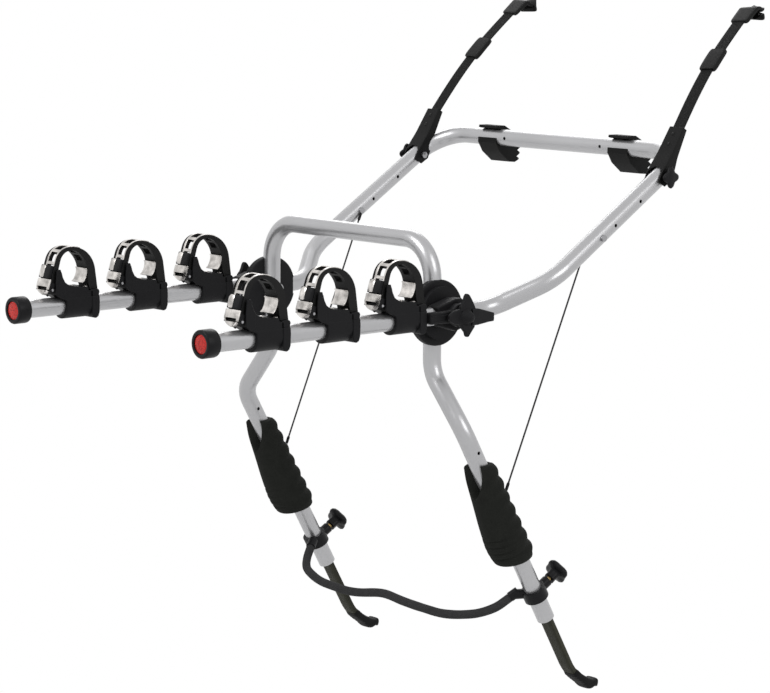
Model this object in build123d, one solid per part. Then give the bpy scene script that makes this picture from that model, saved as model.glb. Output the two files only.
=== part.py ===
"""Trunk mounted bike rack for three bikes, in millimetres.

Frame: the origin is the middle of the hub axis, X runs across the car, +Y points at the car,
+Z is up.  The rack is symmetric about the plane X = 0.  Everything is modelled on the +X side
and mirrored, so "outer" means away from that plane.
"""
import os
from math import cos, radians, sin

from build123d import *

os.makedirs("parts", exist_ok=True)

# Fits
FIXED_GAP = 0.15        # radial gap where a fixed piece grips a round tube
TURN_GAP = 0.1          # radial gap round a shaft that turns
FACE_GAP = 0.4          # gap between faces that slide past each other
SOFT_GAP = 0.3          # gap round a soft piece
OVERRUN = 5.0           # how far a cut runs past the piece that it cuts

# Frame tubes
TUBE_D = 30.0
TUBE_WALL = 1.5
TUBE_R = TUBE_D / 2
BORE_R = TUBE_R - TUBE_WALL

# Lower frame: hoop above, splay, then legs that lean toward the car
HOOP_X = 206.0
HOOP_TOP_Z = 116.1
HOOP_BEND_R = 63.0
SPLAY_DROP = 99.9
SPLAY_BEND_R = 58.0
KNEE_X = 283.5
KNEE_DROP = 189.4
KNEE_BEND_R = 55.0
LEG_LEAN = 29.5         # degrees from vertical, toward the car
LEG_LENGTH = 390.3      # knee vertex to the open end
LEG_HOLE_D = 6.0
LEG_HOLE_AT = 40.0      # along the leg from the knee vertex

# Upper frame: from the hubs, out past the elbows, up the sides and across
SOCKET_X = 237.8
UPPER_START_Y = 50.0
UPPER_BEND_Y = 99.2
UPPER_BEND_R = 65.0
ELBOW_X = 305.4
ELBOW_Y = 178.6
ELBOW_Z = 47.7
ELBOW_BEND_R = 95.0
TOP_Y = 490.5
TOP_Z = 241.6
TOP_BEND_R = 72.0
TOP_HOLE_D = 6.0
TOP_HOLE_X = 120.0
SIDE_HOLES = (155.0, 225.0)     # along the side tube from the elbow vertex
SIDE_HOLE_D = 6.0

# Hub: bolt, fixed disc on the hoop, socket on the upper tube, clamp on the arm, wing knob
BOLT_D = 10.0
BOLT_HEAD_D = 17.0
BOLT_HEAD_T = 6.4
DISC_R = 54.5
DISC_INNER_X = 208.0
DISC_T = 14.4
DISC_EDGE_R = 3.0
DISC_NOTCH_DEPTH = 5.0
DISC_NOTCH_HALF = 15.0
SOCKET_DISC_R = 44.0
SOCKET_DISC_T = 9.6
SOCKET_BLOCK_START = 30.0
SOCKET_BLOCK_HALF = 13.0
SOCKET_PLUG_LENGTH = 18.0
ARM_X = 248.3
ARM_HUB_Y = 20.0        # how far the arm tube runs past the hub axis
CLAMP_HALF_Y = 23.0
CLAMP_HALF_Z = 19.0
CLAMP_BAR_REAR_Y = 55.0
CLAMP_BAR_FRONT_Y = 62.0
CLAMP_BAR_HALF_Z = 10.5
CLAMP_BAR_T = 12.0
CLAMP_BOSS_R = 25.0
CLAMP_BOSS_T = 3.0
KNOB_CORE_R = 15.0
KNOB_T = 22.0
KNOB_WING_R = 36.0
KNOB_WING_W = 13.0
KNOB_WING_T = 12.0
KNOB_WING_COUNT = 4
KNOB_CAP_T = 6.0        # solid thickness left over the bolt end

# Bike arms
ARM_END_Y = 511.0
CAP_LENGTH = 25.0
CAP_R = 22.2
CAP_FACE_T = 5.0
REFLECTOR_R = 15.0
REFLECTOR_T = 2.5
REFLECTOR_RECESS = 1.0
CAP_EDGE_R = 2.5

# Cradles
CRADLE_COUNT = 3
CRADLE_FIRST_Y = 102.0
CRADLE_PITCH = 142.0
SADDLE_W = 40.0
SADDLE_FLOOR_Z = 21.0
SADDLE_FRONT_Y = 21.0
SADDLE_REAR_Y = 32.0
SADDLE_SEAT_Y = 12.0
SADDLE_SEAT_Z = 30.5
SADDLE_FRONT_Z = 24.0
SADDLE_DIP_Y = 22.0
SADDLE_DIP_Z = 34.0
SADDLE_FOOT_Z = 14.0
SADDLE_HORN_Y = 52.0
SADDLE_HORN_FOOT_Z = 20.0
SADDLE_HORN_Z = 62.0
SADDLE_HORN_TOP_Y = 43.0
SADDLE_HORN_T = 9.0
STRAP_W = 30.0
STRAP_T = 8.0
STRAP_PIN_Y = 29.0
STRAP_PIN_Z = 20.5
STRAP_BARREL_R = 4.5
STRAP_PIN_R = 2.2
STRAP_TOP_Z = 94.0
STRAP_FRONT_Y = 19.0
STRAP_CREST_Y = 38.0
STRAP_END_Y = 60.0
STRAP_END_Z = 30.0
STRAP_FRONT_BEND_R = 42.0
STRAP_CREST_BEND_R = 24.0
HEEL_Z = 27.0           # lower end of the thick part of the strap's front run
HEEL_DEPTH = 12.4       # from the front pin to the heel's inner face
HEEL_MIDDLE_Z = 61.0
HEEL_LEAN = 3.9
HEEL_TOP_Y = 4.0
HEEL_TOP_Z = 79.0
BAND_W = 28.0
BAND_T = 1.2
BAND_WINDOW_W = 18.0
BAND_WINDOW_L = 15.0
BAND_PITCH = 20.0
BAND_WINDOWS = 3
BAND_FIRST = 34.0       # along the strap from the lever pin to the first window's middle
BAND_STOP_Y = 20.0
PLATE_Z = 38.0
PLATE_L = 22.0
PLATE_LEAN = 8.0
PLATE_W = 30.0
LEVER_L = 30.0
LEVER_W = 36.0
LEVER_T = 2.0
LEVER_PIN_R = 2.5
LEVER_LIFT = 6.0
LEVER_SLOT_W = 16.0
LEVER_SLOT_L = 3.0

# Foam sleeves on the legs: place along the leg, shift toward the bikes, radius
SLEEVE_TOP = 60.0
SLEEVE_LENGTH = 203.0
SLEEVE_R = 35.5
SLEEVE_STATION_SHARES = (0.0, 0.13, 0.36, 0.6, 0.8, 0.94, 1.0)
SLEEVE_RADIUS_SHARES = (0.69, 0.76, 0.86, 0.96, 1.0, 0.92, 0.7)
SLEEVE_SHIFT_SHARES = (0.03, 0.07, 0.17, 0.27, 0.31, 0.23, 0.11)
NOTCH_DEPTH = 50.0
NOTCH_HALF = 17.0

# Side cables
CABLE_D = 3.0
CABLE_BOLT_AT = 119.0           # along the side tube from the elbow vertex
CABLE_BOLT_D = 6.0
CABLE_BOLT_HEAD_D = 11.0
CABLE_BOLT_HEAD_T = 4.0
CABLE_EYE_R = 5.5
CABLE_EYE_T = 4.0
STUD_AT = 143.0                 # along the leg from the knee vertex
STUD_R = 4.5
STUD_HEIGHT = 29.0              # from the leg axis

# Collars, their knobs and the bumper bar
COLLAR_AT = 336.0               # along the leg from the knee vertex
COLLAR_R = 21.0
COLLAR_H = 20.0
COLLAR_BOSS_R = 9.5
COLLAR_BOSS_TOP = 33.0          # from the leg axis
COLLAR_SCREW_R = 4.0
COLLAR_KNOB_STEM_R = 9.0
COLLAR_KNOB_STEM_START = 37.0
COLLAR_KNOB_HEAD_R = 19.0
COLLAR_KNOB_HEAD_T = 11.0
COLLAR_KNOB_TOP = 68.0
COLLAR_KNOB_LOBES = 4
COLLAR_KNOB_LOBE_R = 7.0
LUG_R = 8.5
BAR_CORE_D = 8.0
BAR_FOAM_D = 15.0
BAR_END = (262.0, 138.0, -484.0)
BAR_SHOULDER = (240.0, 99.0, -514.0)
BAR_TURN = (170.0, 72.0, -525.0)
BAR_SHOULDER_R = 36.0
BAR_TURN_R = 110.0
BAR_FOAM_START = 14.0           # bare core at each end of the foam

# Lower hooks that slide in the open ends of the legs
HOOK_BAR_W = 26.0
HOOK_BAR_T = 4.0
HOOK_BAR_INSIDE = 90.0
HOOK_STRAIGHT = 136.0           # tube end to the corner that the bend rounds
HOOK_TURN = 45.0                # degrees the bar turns toward the car
HOOK_BEND_R = 95.0
HOOK_TAIL = 50.0
HOOK_TIP_LENGTH = 56.0
HOOK_TIP_W = 31.0
HOOK_TIP_T = 11.0
HOOK_NOSE_R = 8.5
HOOK_NOSE_REACH = 3.0

# Feet under the top bar, outline in shares of these
PAD_X = 164.0
PAD_W = 48.0
PAD_DROP = 45.0
PAD_REACH = 46.0
PAD_LIP = 7.0
PAD_OUTLINE_SHARES = (
    (-0.37, 0.0), (-0.37, -0.22), (-0.12, -0.6), (0.38, -1.0), (0.72, -1.04), (0.9, -0.93),
    (0.8, -0.8), (0.96, -0.68), (0.84, -0.55), (1.0, -0.42), (0.86, -0.3), (0.8, -0.12),
    (0.62, 0.2),
)

# Upper strap brackets, straps, sliders and lid hooks
PIVOT_AT = 296.0                # along the side tube from the elbow vertex
CHEEK_T = 2.5
CHEEK_GAP = 1.0
BRACKET_REACH = 92.0
BRACKET_ANGLE = 60.0            # degrees above horizontal
BRACKET_FOOT_R = 17.0
BRACKET_HEAD_W = 20.0
BRACKET_WEB_START = 26.0
BRACKET_WEB_T = 3.0
BRACKET_FLANGE_L = 22.0
BRACKET_FLANGE_DROP = 8.0
BRACKET_PIN_R = 3.0
PIVOT_SCREW_R = 3.0
PIVOT_NUT_R = 6.5
PIVOT_NUT_T = 4.0
SIDE_KNOB_R = 19.0
SIDE_KNOB_T = 11.0
SIDE_KNOB_LOBES = 4
SIDE_KNOB_LOBE_R = 7.0
WEBBING_W = 20.0
WEBBING_T = 2.4
WEBBING_END = (286.0, 651.0, 463.0)
SLIDER_AT = 156.0               # along the webbing from the bracket pin
SLIDER_L = 50.0
SLIDER_W = 36.0
SLIDER_T = 8.0
LID_HOOK_W = 34.0
LID_HOOK_T = 7.0
LID_HOOK_BACK = 37.0
LID_HOOK_NOSE = 28.0
LID_HOOK_LIP = 9.0
LID_HOOK_TURN = 58.0            # degrees from the webbing to the nose
LID_HOOK_LIP_TURN = 40.0


# Helpers
def unit(vector):
    return Vector(*vector).normalized()


def rod(start, end, radius):
    """Solid cylinder from start to end."""
    start = Vector(*start)
    end = Vector(*end)
    plane = Plane(origin=start, z_dir=end - start)
    return plane * Cylinder(radius, (end - start).length, align=(Align.CENTER, Align.CENTER, Align.MIN))


def x_rod(x0, x1, y, z, radius):
    """Solid cylinder along X."""
    return rod((x0, y, z), (x1, y, z), radius)


def block(x0, x1, y0, y1, z0, z1):
    """Box between two corners."""
    return Pos(x0, y0, z0) * Box(x1 - x0, y1 - y0, z1 - z0, align=(Align.MIN, Align.MIN, Align.MIN))


def slab(outline, x0, x1):
    """Outline of (y, z) points made solid from x0 to x1."""
    face = make_face(Polyline(*[(y, z) for y, z in outline], close=True))
    plane = Plane(origin=(x0, 0, 0), x_dir=(0, 1, 0), z_dir=(1, 0, 0))
    return extrude(plane * face, amount=x1 - x0)


def pipe(points, radii, outer, inner=0.0):
    """Round tube or bar along straight runs joined by tangent arcs."""
    path = FilletPolyline(*points, radius=radii)
    plane = Plane(origin=path @ 0, z_dir=path % 0)
    solid = sweep(plane * Circle(outer), path=path)
    if inner:
        solid = solid - sweep(plane * Circle(inner), path=path)
    return solid


def bent_strip(points, radii, x_middle, width, thickness):
    """Flat strip whose centre line lies in a plane of constant X, points are (y, z)."""
    path = FilletPolyline(*[(x_middle, y, z) for y, z in points], radius=radii)
    plane = Plane(origin=path @ 0, x_dir=(1, 0, 0), z_dir=path % 0)
    return sweep(plane * Rectangle(width, thickness), path=path)


def solids_of(shapes):
    """Flatten shapes into single solids."""
    found = []
    for shape in shapes:
        found.extend(shape.solids())
    return found


def save(name, *shapes):
    """Write one node, whose solids stay separate."""
    parts = solids_of(shapes)
    node = parts[0] if len(parts) == 1 else Compound(children=parts)
    export_step(node, f"parts/{name}.step")


def flip(shape):
    return shape.mirror(Plane.YZ)


def save_pair(name, *shapes):
    """Write the right piece and its mirror image as two nodes."""
    save(name + "_right", *shapes)
    save(name + "_left", *[flip(shape) for shape in shapes])


def save_both(name, *shapes):
    """Write the right piece and its mirror image in one node."""
    save(name, *shapes, *[flip(shape) for shape in shapes])


# Directions and places that several pieces share
LEG_DIR = Vector(0, sin(radians(LEG_LEAN)), -cos(radians(LEG_LEAN)))
LEG_OUT = Vector(0, cos(radians(LEG_LEAN)), sin(radians(LEG_LEAN)))
KNEE = Vector(KNEE_X, 0, -KNEE_DROP)
SIDE_DIR = unit((0, TOP_Y - ELBOW_Y, TOP_Z - ELBOW_Z))
ELBOW = Vector(ELBOW_X, ELBOW_Y, ELBOW_Z)
DISC_OUTER_X = DISC_INNER_X + DISC_T
SOCKET_INNER_X = DISC_OUTER_X + FACE_GAP
SOCKET_OUTER_X = SOCKET_INNER_X + SOCKET_DISC_T
CLAMP_OUTER_X = ARM_X + TUBE_R + FACE_GAP
BAR_OUTER_X = CLAMP_OUTER_X + CLAMP_BAR_T
BOSS_OUTER_X = BAR_OUTER_X + CLAMP_BOSS_T
KNOB_INNER_X = BOSS_OUTER_X + FACE_GAP
KNOB_OUTER_X = KNOB_INNER_X + KNOB_T
BOLT_END_X = KNOB_OUTER_X - KNOB_CAP_T
BOLT_HOLE_R = BOLT_D / 2 + TURN_GAP
PIVOT = ELBOW + SIDE_DIR * PIVOT_AT
BRACKET_DIR = Vector(0, cos(radians(BRACKET_ANGLE)), sin(radians(BRACKET_ANGLE)))
BRACKET_NORMAL = Vector(0, -sin(radians(BRACKET_ANGLE)), cos(radians(BRACKET_ANGLE)))
WEBBING_START = PIVOT + BRACKET_DIR * (BRACKET_REACH - BRACKET_PIN_R * 2)


def on_leg(along, out=0.0, x=0.0):
    """Point at a place along the leg, moved square to it toward the car, and across."""
    return KNEE + LEG_DIR * along + LEG_OUT * out + Vector(x, 0, 0)


def on_side(along):
    """Point on the centre line of the straight side tube."""
    return ELBOW + SIDE_DIR * along


def half_to_whole(points):
    """Right half of a centre line, end first, completed by its mirror image."""
    return [*points, *[(-x, y, z) for x, y, z in reversed(points)]]


# Lower frame
def lower_frame_tube():
    half = [
        tuple(on_leg(LEG_LENGTH)),
        tuple(KNEE),
        (HOOP_X, 0, -SPLAY_DROP),
        (HOOP_X, 0, HOOP_TOP_Z),
    ]
    bends = [KNEE_BEND_R, SPLAY_BEND_R, HOOP_BEND_R]
    tube = pipe(half_to_whole(half), [*bends, *reversed(bends)], TUBE_R, BORE_R)
    reach = KNEE_X + TUBE_D
    tube -= x_rod(-reach, reach, 0, 0, BOLT_HOLE_R)
    hole = on_leg(LEG_HOLE_AT)
    tube -= x_rod(-reach, reach, hole.Y, hole.Z, LEG_HOLE_D / 2)
    return tube


def foam_sleeve():
    """Foam pad wrapped round the leg, with a notch in its upper edge on the bike side."""
    sections = []
    shares = zip(SLEEVE_STATION_SHARES, SLEEVE_RADIUS_SHARES, SLEEVE_SHIFT_SHARES)
    for station, size, shift in shares:
        centre = on_leg(SLEEVE_TOP + SLEEVE_LENGTH * station, -SLEEVE_R * shift)
        plane = Plane(origin=centre, x_dir=(1, 0, 0), z_dir=LEG_DIR)
        sections.append(plane * Circle(SLEEVE_R * size))
    pad = loft(sections)
    pad -= rod(on_leg(SLEEVE_TOP - OVERRUN), on_leg(SLEEVE_TOP + SLEEVE_LENGTH + OVERRUN), TUBE_R + SOFT_GAP)
    notch = make_face(Polyline(
        (-NOTCH_HALF, -OVERRUN), (NOTCH_HALF, -OVERRUN), (0, NOTCH_DEPTH), close=True,
    ))
    plane = Plane(origin=on_leg(SLEEVE_TOP), x_dir=(1, 0, 0), z_dir=LEG_OUT)
    pad -= extrude(plane * notch, amount=-SLEEVE_R * 2)
    pad -= rod(on_leg(STUD_AT), on_leg(STUD_AT, SLEEVE_R * 2), STUD_R + SOFT_GAP)
    return pad


def lower_cable_stud():
    """Stud on the front of the leg, its end takes the cable."""
    stud = rod(on_leg(STUD_AT, TUBE_R - TUBE_WALL), on_leg(STUD_AT, STUD_HEIGHT), STUD_R)
    return stud - rod(on_leg(0), on_leg(LEG_LENGTH), TUBE_R + FIXED_GAP)


# Hub
def hub_bolt():
    head_x = HOOP_X - TUBE_R - FIXED_GAP
    bolt = x_rod(head_x, BOLT_END_X - TURN_GAP, 0, 0, BOLT_D / 2)
    return bolt + x_rod(head_x - BOLT_HEAD_T, head_x, 0, 0, BOLT_HEAD_D / 2)


def hub_inner_disc():
    disc = x_rod(DISC_INNER_X, DISC_OUTER_X, 0, 0, DISC_R)
    disc = fillet(disc.edges().filter_by(GeomType.CIRCLE), DISC_EDGE_R)
    disc -= block(
        DISC_INNER_X - OVERRUN, DISC_OUTER_X + OVERRUN,
        DISC_R - DISC_NOTCH_DEPTH, DISC_R + OVERRUN, -DISC_NOTCH_HALF, DISC_NOTCH_HALF,
    )
    disc -= rod((HOOP_X, 0, -DISC_R * 2), (HOOP_X, 0, DISC_R * 2), TUBE_R + FIXED_GAP)
    return disc - x_rod(DISC_INNER_X - OVERRUN, DISC_OUTER_X + OVERRUN, 0, 0, BOLT_HOLE_R)


def hub_frame_socket():
    """Turning disc with a block on its edge and a plug that fills the upper tube's end."""
    socket = x_rod(SOCKET_INNER_X, SOCKET_OUTER_X, 0, 0, SOCKET_DISC_R)
    socket += block(
        SOCKET_INNER_X, SOCKET_X + TUBE_R, SOCKET_BLOCK_START, UPPER_START_Y - FIXED_GAP,
        -SOCKET_BLOCK_HALF, SOCKET_BLOCK_HALF,
    )
    socket += rod(
        (SOCKET_X, SOCKET_BLOCK_START + OVERRUN, 0),
        (SOCKET_X, UPPER_START_Y + SOCKET_PLUG_LENGTH, 0), BORE_R - FIXED_GAP,
    )
    return socket - x_rod(SOCKET_INNER_X - OVERRUN, SOCKET_OUTER_X + OVERRUN, 0, 0, BOLT_HOLE_R)


def arm_clamp():
    """Block round the arm's end, a long bar outside it and a boss under the knob."""
    clamp = block(
        SOCKET_OUTER_X + FACE_GAP, CLAMP_OUTER_X, -CLAMP_HALF_Y, CLAMP_HALF_Y,
        -CLAMP_HALF_Z, CLAMP_HALF_Z,
    )
    clamp += block(
        CLAMP_OUTER_X - FACE_GAP, BAR_OUTER_X, -CLAMP_BAR_REAR_Y, CLAMP_BAR_FRONT_Y,
        -CLAMP_BAR_HALF_Z, CLAMP_BAR_HALF_Z,
    )
    clamp += x_rod(CLAMP_OUTER_X - FACE_GAP, BOSS_OUTER_X, 0, 0, CLAMP_BOSS_R)
    clamp -= rod((ARM_X, -CLAMP_BAR_REAR_Y - OVERRUN, 0), (ARM_X, ARM_HUB_Y + FIXED_GAP, 0), TUBE_R + FIXED_GAP)
    sweep_r = SOCKET_BLOCK_START - FACE_GAP
    keep = x_rod(SOCKET_OUTER_X, CLAMP_OUTER_X, 0, 0, sweep_r)
    clamp = (clamp & keep) + (clamp & block(
        CLAMP_OUTER_X - FACE_GAP, BOSS_OUTER_X + OVERRUN, -CLAMP_BAR_REAR_Y, CLAMP_BAR_FRONT_Y,
        -DISC_R, DISC_R,
    ))
    return clamp - x_rod(SOCKET_OUTER_X, BOSS_OUTER_X + OVERRUN, 0, 0, BOLT_HOLE_R)


def wings(count, reach, width, x0, x1, tip_r):
    """Equal wings round an X axis at the origin, each with a round tip."""
    arms = []
    for index in range(count):
        angle = radians(360.0 * index / count + 90.0)
        tip = (cos(angle) * (reach - tip_r), sin(angle) * (reach - tip_r))
        arm = slab(
            [(-width / 2, 0), (width / 2, 0), (tip_r, reach - tip_r), (-tip_r, reach - tip_r)], x0, x1,
        )
        arm = arm.rotate(Axis.X, 360.0 * index / count)
        arms.append(arm + x_rod(x0, x1, tip[0], tip[1], tip_r))
    return arms


def hub_knob():
    knob = x_rod(KNOB_INNER_X, KNOB_OUTER_X, 0, 0, KNOB_CORE_R)
    for wing in wings(
        KNOB_WING_COUNT, KNOB_WING_R, KNOB_WING_W, KNOB_OUTER_X - KNOB_WING_T, KNOB_OUTER_X,
        KNOB_WING_W / 3,
    ):
        knob += wing
    return knob - x_rod(KNOB_INNER_X - OVERRUN, BOLT_END_X, 0, 0, BOLT_HOLE_R)


# Bike arms
def arm_tube():
    tube = rod((ARM_X, -ARM_END_Y + CAP_FACE_T, 0), (ARM_X, ARM_HUB_Y, 0), TUBE_R)
    tube -= rod((ARM_X, -ARM_END_Y, 0), (ARM_X, ARM_HUB_Y + OVERRUN, 0), BORE_R)
    return tube - x_rod(ARM_X - TUBE_D, ARM_X + TUBE_D, 0, 0, BOLT_HOLE_R)


def arm_end_cap():
    face_y = -ARM_END_Y - REFLECTOR_T
    cap = rod((ARM_X, face_y, 0), (ARM_X, face_y + CAP_LENGTH, 0), CAP_R)
    cap = fillet(cap.edges().filter_by(GeomType.CIRCLE), CAP_EDGE_R)
    cap -= rod((ARM_X, -ARM_END_Y + CAP_FACE_T - FIXED_GAP, 0), (ARM_X, 0, 0), TUBE_R + FIXED_GAP)
    recess = REFLECTOR_T + REFLECTOR_RECESS
    return cap - rod((ARM_X, face_y - OVERRUN, 0), (ARM_X, face_y + recess, 0), REFLECTOR_R + FIXED_GAP)


def reflector():
    seat_y = -ARM_END_Y + REFLECTOR_RECESS
    return rod((ARM_X, seat_y - REFLECTOR_T, 0), (ARM_X, seat_y, 0), REFLECTOR_R)


# Cradles
def saddle(centre_y):
    """Moulded seat on the arm, its rear horn leans toward the arm's end."""
    foot_y = STRAP_PIN_Y + STRAP_T / 2
    outline = [
        (-SADDLE_REAR_Y, -SADDLE_FLOOR_Z), (foot_y, -SADDLE_FLOOR_Z), (foot_y, SADDLE_FOOT_Z),
        (SADDLE_FRONT_Y, SADDLE_FOOT_Z), (SADDLE_FRONT_Y, SADDLE_FRONT_Z),
        (SADDLE_SEAT_Y, SADDLE_FRONT_Z), (SADDLE_SEAT_Y, SADDLE_SEAT_Z), (0, SADDLE_SEAT_Z),
        (-SADDLE_DIP_Y, SADDLE_DIP_Z),
        (-SADDLE_HORN_TOP_Y + SADDLE_HORN_T, SADDLE_HORN_Z - SADDLE_HORN_T * 2),
        (-SADDLE_HORN_TOP_Y + SADDLE_HORN_T / 2, SADDLE_HORN_Z),
        (-SADDLE_HORN_TOP_Y, SADDLE_HORN_Z), (-SADDLE_HORN_Y, SADDLE_HORN_FOOT_Z),
        (-SADDLE_REAR_Y, 0),
    ]
    half = SADDLE_W / 2
    seat = slab([(y + centre_y, z) for y, z in outline], ARM_X - half, ARM_X + half)
    pin_y = centre_y + STRAP_PIN_Y
    lug_z = STRAP_PIN_Z + STRAP_BARREL_R
    for sign in (-1, 1):
        edge = ARM_X + sign * half
        inside = ARM_X + sign * (STRAP_W / 2 + FACE_GAP)
        lug = block(
            min(edge, inside), max(edge, inside), centre_y + SADDLE_FRONT_Y - SADDLE_HORN_T, pin_y,
            STRAP_PIN_Z - STRAP_BARREL_R, lug_z,
        )
        seat += lug + x_rod(min(edge, inside), max(edge, inside), pin_y, STRAP_PIN_Z, STRAP_BARREL_R)
    seat -= x_rod(ARM_X - half - OVERRUN, ARM_X + half + OVERRUN, pin_y, STRAP_PIN_Z, STRAP_PIN_R + TURN_GAP)
    start = (ARM_X, centre_y - SADDLE_HORN_Y - OVERRUN, 0)
    return seat - rod(start, (ARM_X, pin_y + OVERRUN, 0), TUBE_R + FIXED_GAP)


def strap_line(centre_y):
    """Centre line of the strap over one cradle, front pin first, as (y, z)."""
    return [
        (centre_y + STRAP_PIN_Y, STRAP_PIN_Z), (centre_y + STRAP_FRONT_Y, STRAP_TOP_Z),
        (centre_y - STRAP_CREST_Y, STRAP_TOP_Z), (centre_y - STRAP_END_Y, STRAP_END_Z),
    ]


def strap_layer(centre_y, width, thickness):
    """Solid that follows the strap's centre line."""
    bends = [STRAP_FRONT_BEND_R, STRAP_CREST_BEND_R]
    return bent_strip(strap_line(centre_y), bends, ARM_X, width, thickness)


END_DIR = unit((0, STRAP_CREST_Y - STRAP_END_Y, STRAP_END_Z - STRAP_TOP_Z))
END_NORMAL_Y = -END_DIR.Z
END_NORMAL_Z = -END_DIR.Y


def heel_face(centre_y, z):
    """Y of the inner face of the strap's thick front run at a height."""
    rise = (z - HEEL_Z) / (HEEL_MIDDLE_Z - HEEL_Z)
    return centre_y + STRAP_PIN_Y - HEEL_DEPTH - rise * HEEL_LEAN


def cradle_strap(centre_y):
    strap = strap_layer(centre_y, STRAP_W, STRAP_T)
    half = SADDLE_W / 2
    pin_y = centre_y + STRAP_PIN_Y
    heel = [
        (pin_y, HEEL_Z), (heel_face(centre_y, HEEL_Z), HEEL_Z),
        (heel_face(centre_y, HEEL_MIDDLE_Z), HEEL_MIDDLE_Z), (centre_y + HEEL_TOP_Y, HEEL_TOP_Z),
        (centre_y + HEEL_TOP_Y + STRAP_T, HEEL_TOP_Z), (centre_y + STRAP_FRONT_Y, HEEL_MIDDLE_Z),
    ]
    strap += slab(heel, ARM_X - STRAP_W / 2, ARM_X + STRAP_W / 2)
    strap += x_rod(ARM_X - STRAP_W / 2, ARM_X + STRAP_W / 2, pin_y, STRAP_PIN_Z, STRAP_BARREL_R)
    strap += x_rod(ARM_X - half, ARM_X + half, pin_y, STRAP_PIN_Z, STRAP_PIN_R)
    lever_half = LEVER_W / 2
    pin_y = centre_y - STRAP_END_Y
    strap += x_rod(ARM_X - STRAP_W / 2, ARM_X + STRAP_W / 2, pin_y, STRAP_END_Z, LEVER_PIN_R * 2)
    return strap + x_rod(ARM_X - lever_half, ARM_X + lever_half, pin_y, STRAP_END_Z, LEVER_PIN_R)


def band_plane(centre_y, along, lift):
    """Plane on the sloping outer face of the strap, its x runs up the slope from the lever pin."""
    origin = Vector(ARM_X, centre_y - STRAP_END_Y, STRAP_END_Z) - END_DIR * along
    origin += Vector(0, -END_NORMAL_Y, END_NORMAL_Z) * lift
    return Plane(origin=origin, x_dir=-END_DIR, z_dir=(0, -END_NORMAL_Y, END_NORMAL_Z))


def cradle_ladder(centre_y):
    """Slotted bright band over the strap's crest and slope, and a bright plate inside its front run."""
    under = STRAP_T + FIXED_GAP * 2
    band = strap_layer(centre_y, BAND_W, under + BAND_T * 2) - strap_layer(centre_y, BAND_W * 2, under)
    band = max(band.solids(), key=lambda solid: solid.volume)
    half = BAND_W / 2
    band &= block(
        ARM_X - half, ARM_X + half, centre_y - STRAP_END_Y * 2, centre_y - BAND_STOP_Y,
        STRAP_END_Z + LEVER_PIN_R * 2 + FACE_GAP, STRAP_TOP_Z * 2,
    )
    bends = [STRAP_FRONT_BEND_R, STRAP_CREST_BEND_R]
    path = FilletPolyline(*[(ARM_X, y, z) for y, z in strap_line(centre_y)], radius=bends)
    for index in range(BAND_WINDOWS):
        place = 1 - (BAND_FIRST + index * BAND_PITCH) / path.length
        plane = Plane(origin=path @ place, x_dir=(1, 0, 0), z_dir=path % place)
        band -= plane * Box(BAND_WINDOW_W, under * 2, BAND_WINDOW_L)
    top_z = PLATE_Z + PLATE_L
    top_y = heel_face(centre_y, top_z) - FIXED_GAP
    foot_y = top_y - PLATE_LEAN
    plate = slab(
        [(top_y, top_z), (foot_y, PLATE_Z), (foot_y - BAND_T, PLATE_Z), (top_y - BAND_T, top_z)],
        ARM_X - PLATE_W / 2, ARM_X + PLATE_W / 2,
    )
    return [band, plate]


def cradle_buckle(centre_y):
    """Bright lever over the strap's end, two ears carry it on the strap's pin."""
    lift = STRAP_T / 2 + LEVER_LIFT
    plate = band_plane(centre_y, -LEVER_PIN_R * 3, lift) * Box(
        LEVER_L, LEVER_W, LEVER_T, align=(Align.MIN, Align.CENTER, Align.MIN),
    )
    plate -= band_plane(centre_y, -LEVER_PIN_R, lift - LEVER_T) * Box(
        LEVER_SLOT_L, LEVER_SLOT_W, LEVER_T * 3, align=(Align.MIN, Align.CENTER, Align.MIN),
    )
    ear_l = LEVER_PIN_R * 6
    pin_y = centre_y - STRAP_END_Y
    for sign in (-1, 1):
        ear = band_plane(centre_y, -LEVER_PIN_R * 3, -LEVER_PIN_R * 2) * (
            Pos(0, sign * (LEVER_W - LEVER_T) / 2, 0)
            * Box(ear_l, LEVER_T, lift + LEVER_PIN_R * 2 + LEVER_T, align=(Align.MIN, Align.CENTER, Align.MIN))
        )
        plate += ear
    return plate - x_rod(
        ARM_X - LEVER_W, ARM_X + LEVER_W, pin_y, STRAP_END_Z, LEVER_PIN_R + TURN_GAP,
    )


# Legs: collars, knobs, bumper bar and lower hooks
def leg_plane(along, out):
    """Plane square to the leg's outward direction, x across the rack."""
    return Plane(origin=on_leg(along, out), x_dir=(1, 0, 0), z_dir=LEG_OUT)


def bumper_collar():
    half = COLLAR_H / 2
    collar = rod(on_leg(COLLAR_AT - half), on_leg(COLLAR_AT + half), COLLAR_R)
    collar += rod(on_leg(COLLAR_AT), on_leg(COLLAR_AT, COLLAR_BOSS_TOP), COLLAR_BOSS_R)
    lug_end = Vector(*BAR_END)
    lug_dir = (Vector(*BAR_SHOULDER) - lug_end).normalized()
    collar += rod(on_leg(COLLAR_AT), lug_end, LUG_R)
    collar += rod(lug_end - lug_dir * LUG_R, lug_end + lug_dir * LUG_R, LUG_R)
    collar -= rod(on_leg(COLLAR_AT - COLLAR_H * 2), on_leg(COLLAR_AT + COLLAR_H * 2), TUBE_R + FIXED_GAP)
    collar -= rod(on_leg(COLLAR_AT), on_leg(COLLAR_AT, COLLAR_KNOB_TOP), COLLAR_SCREW_R + TURN_GAP)
    return collar - rod(lug_end - lug_dir * FIXED_GAP, lug_end + lug_dir * LUG_R * 2, BAR_CORE_D / 2 + FIXED_GAP)


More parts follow.
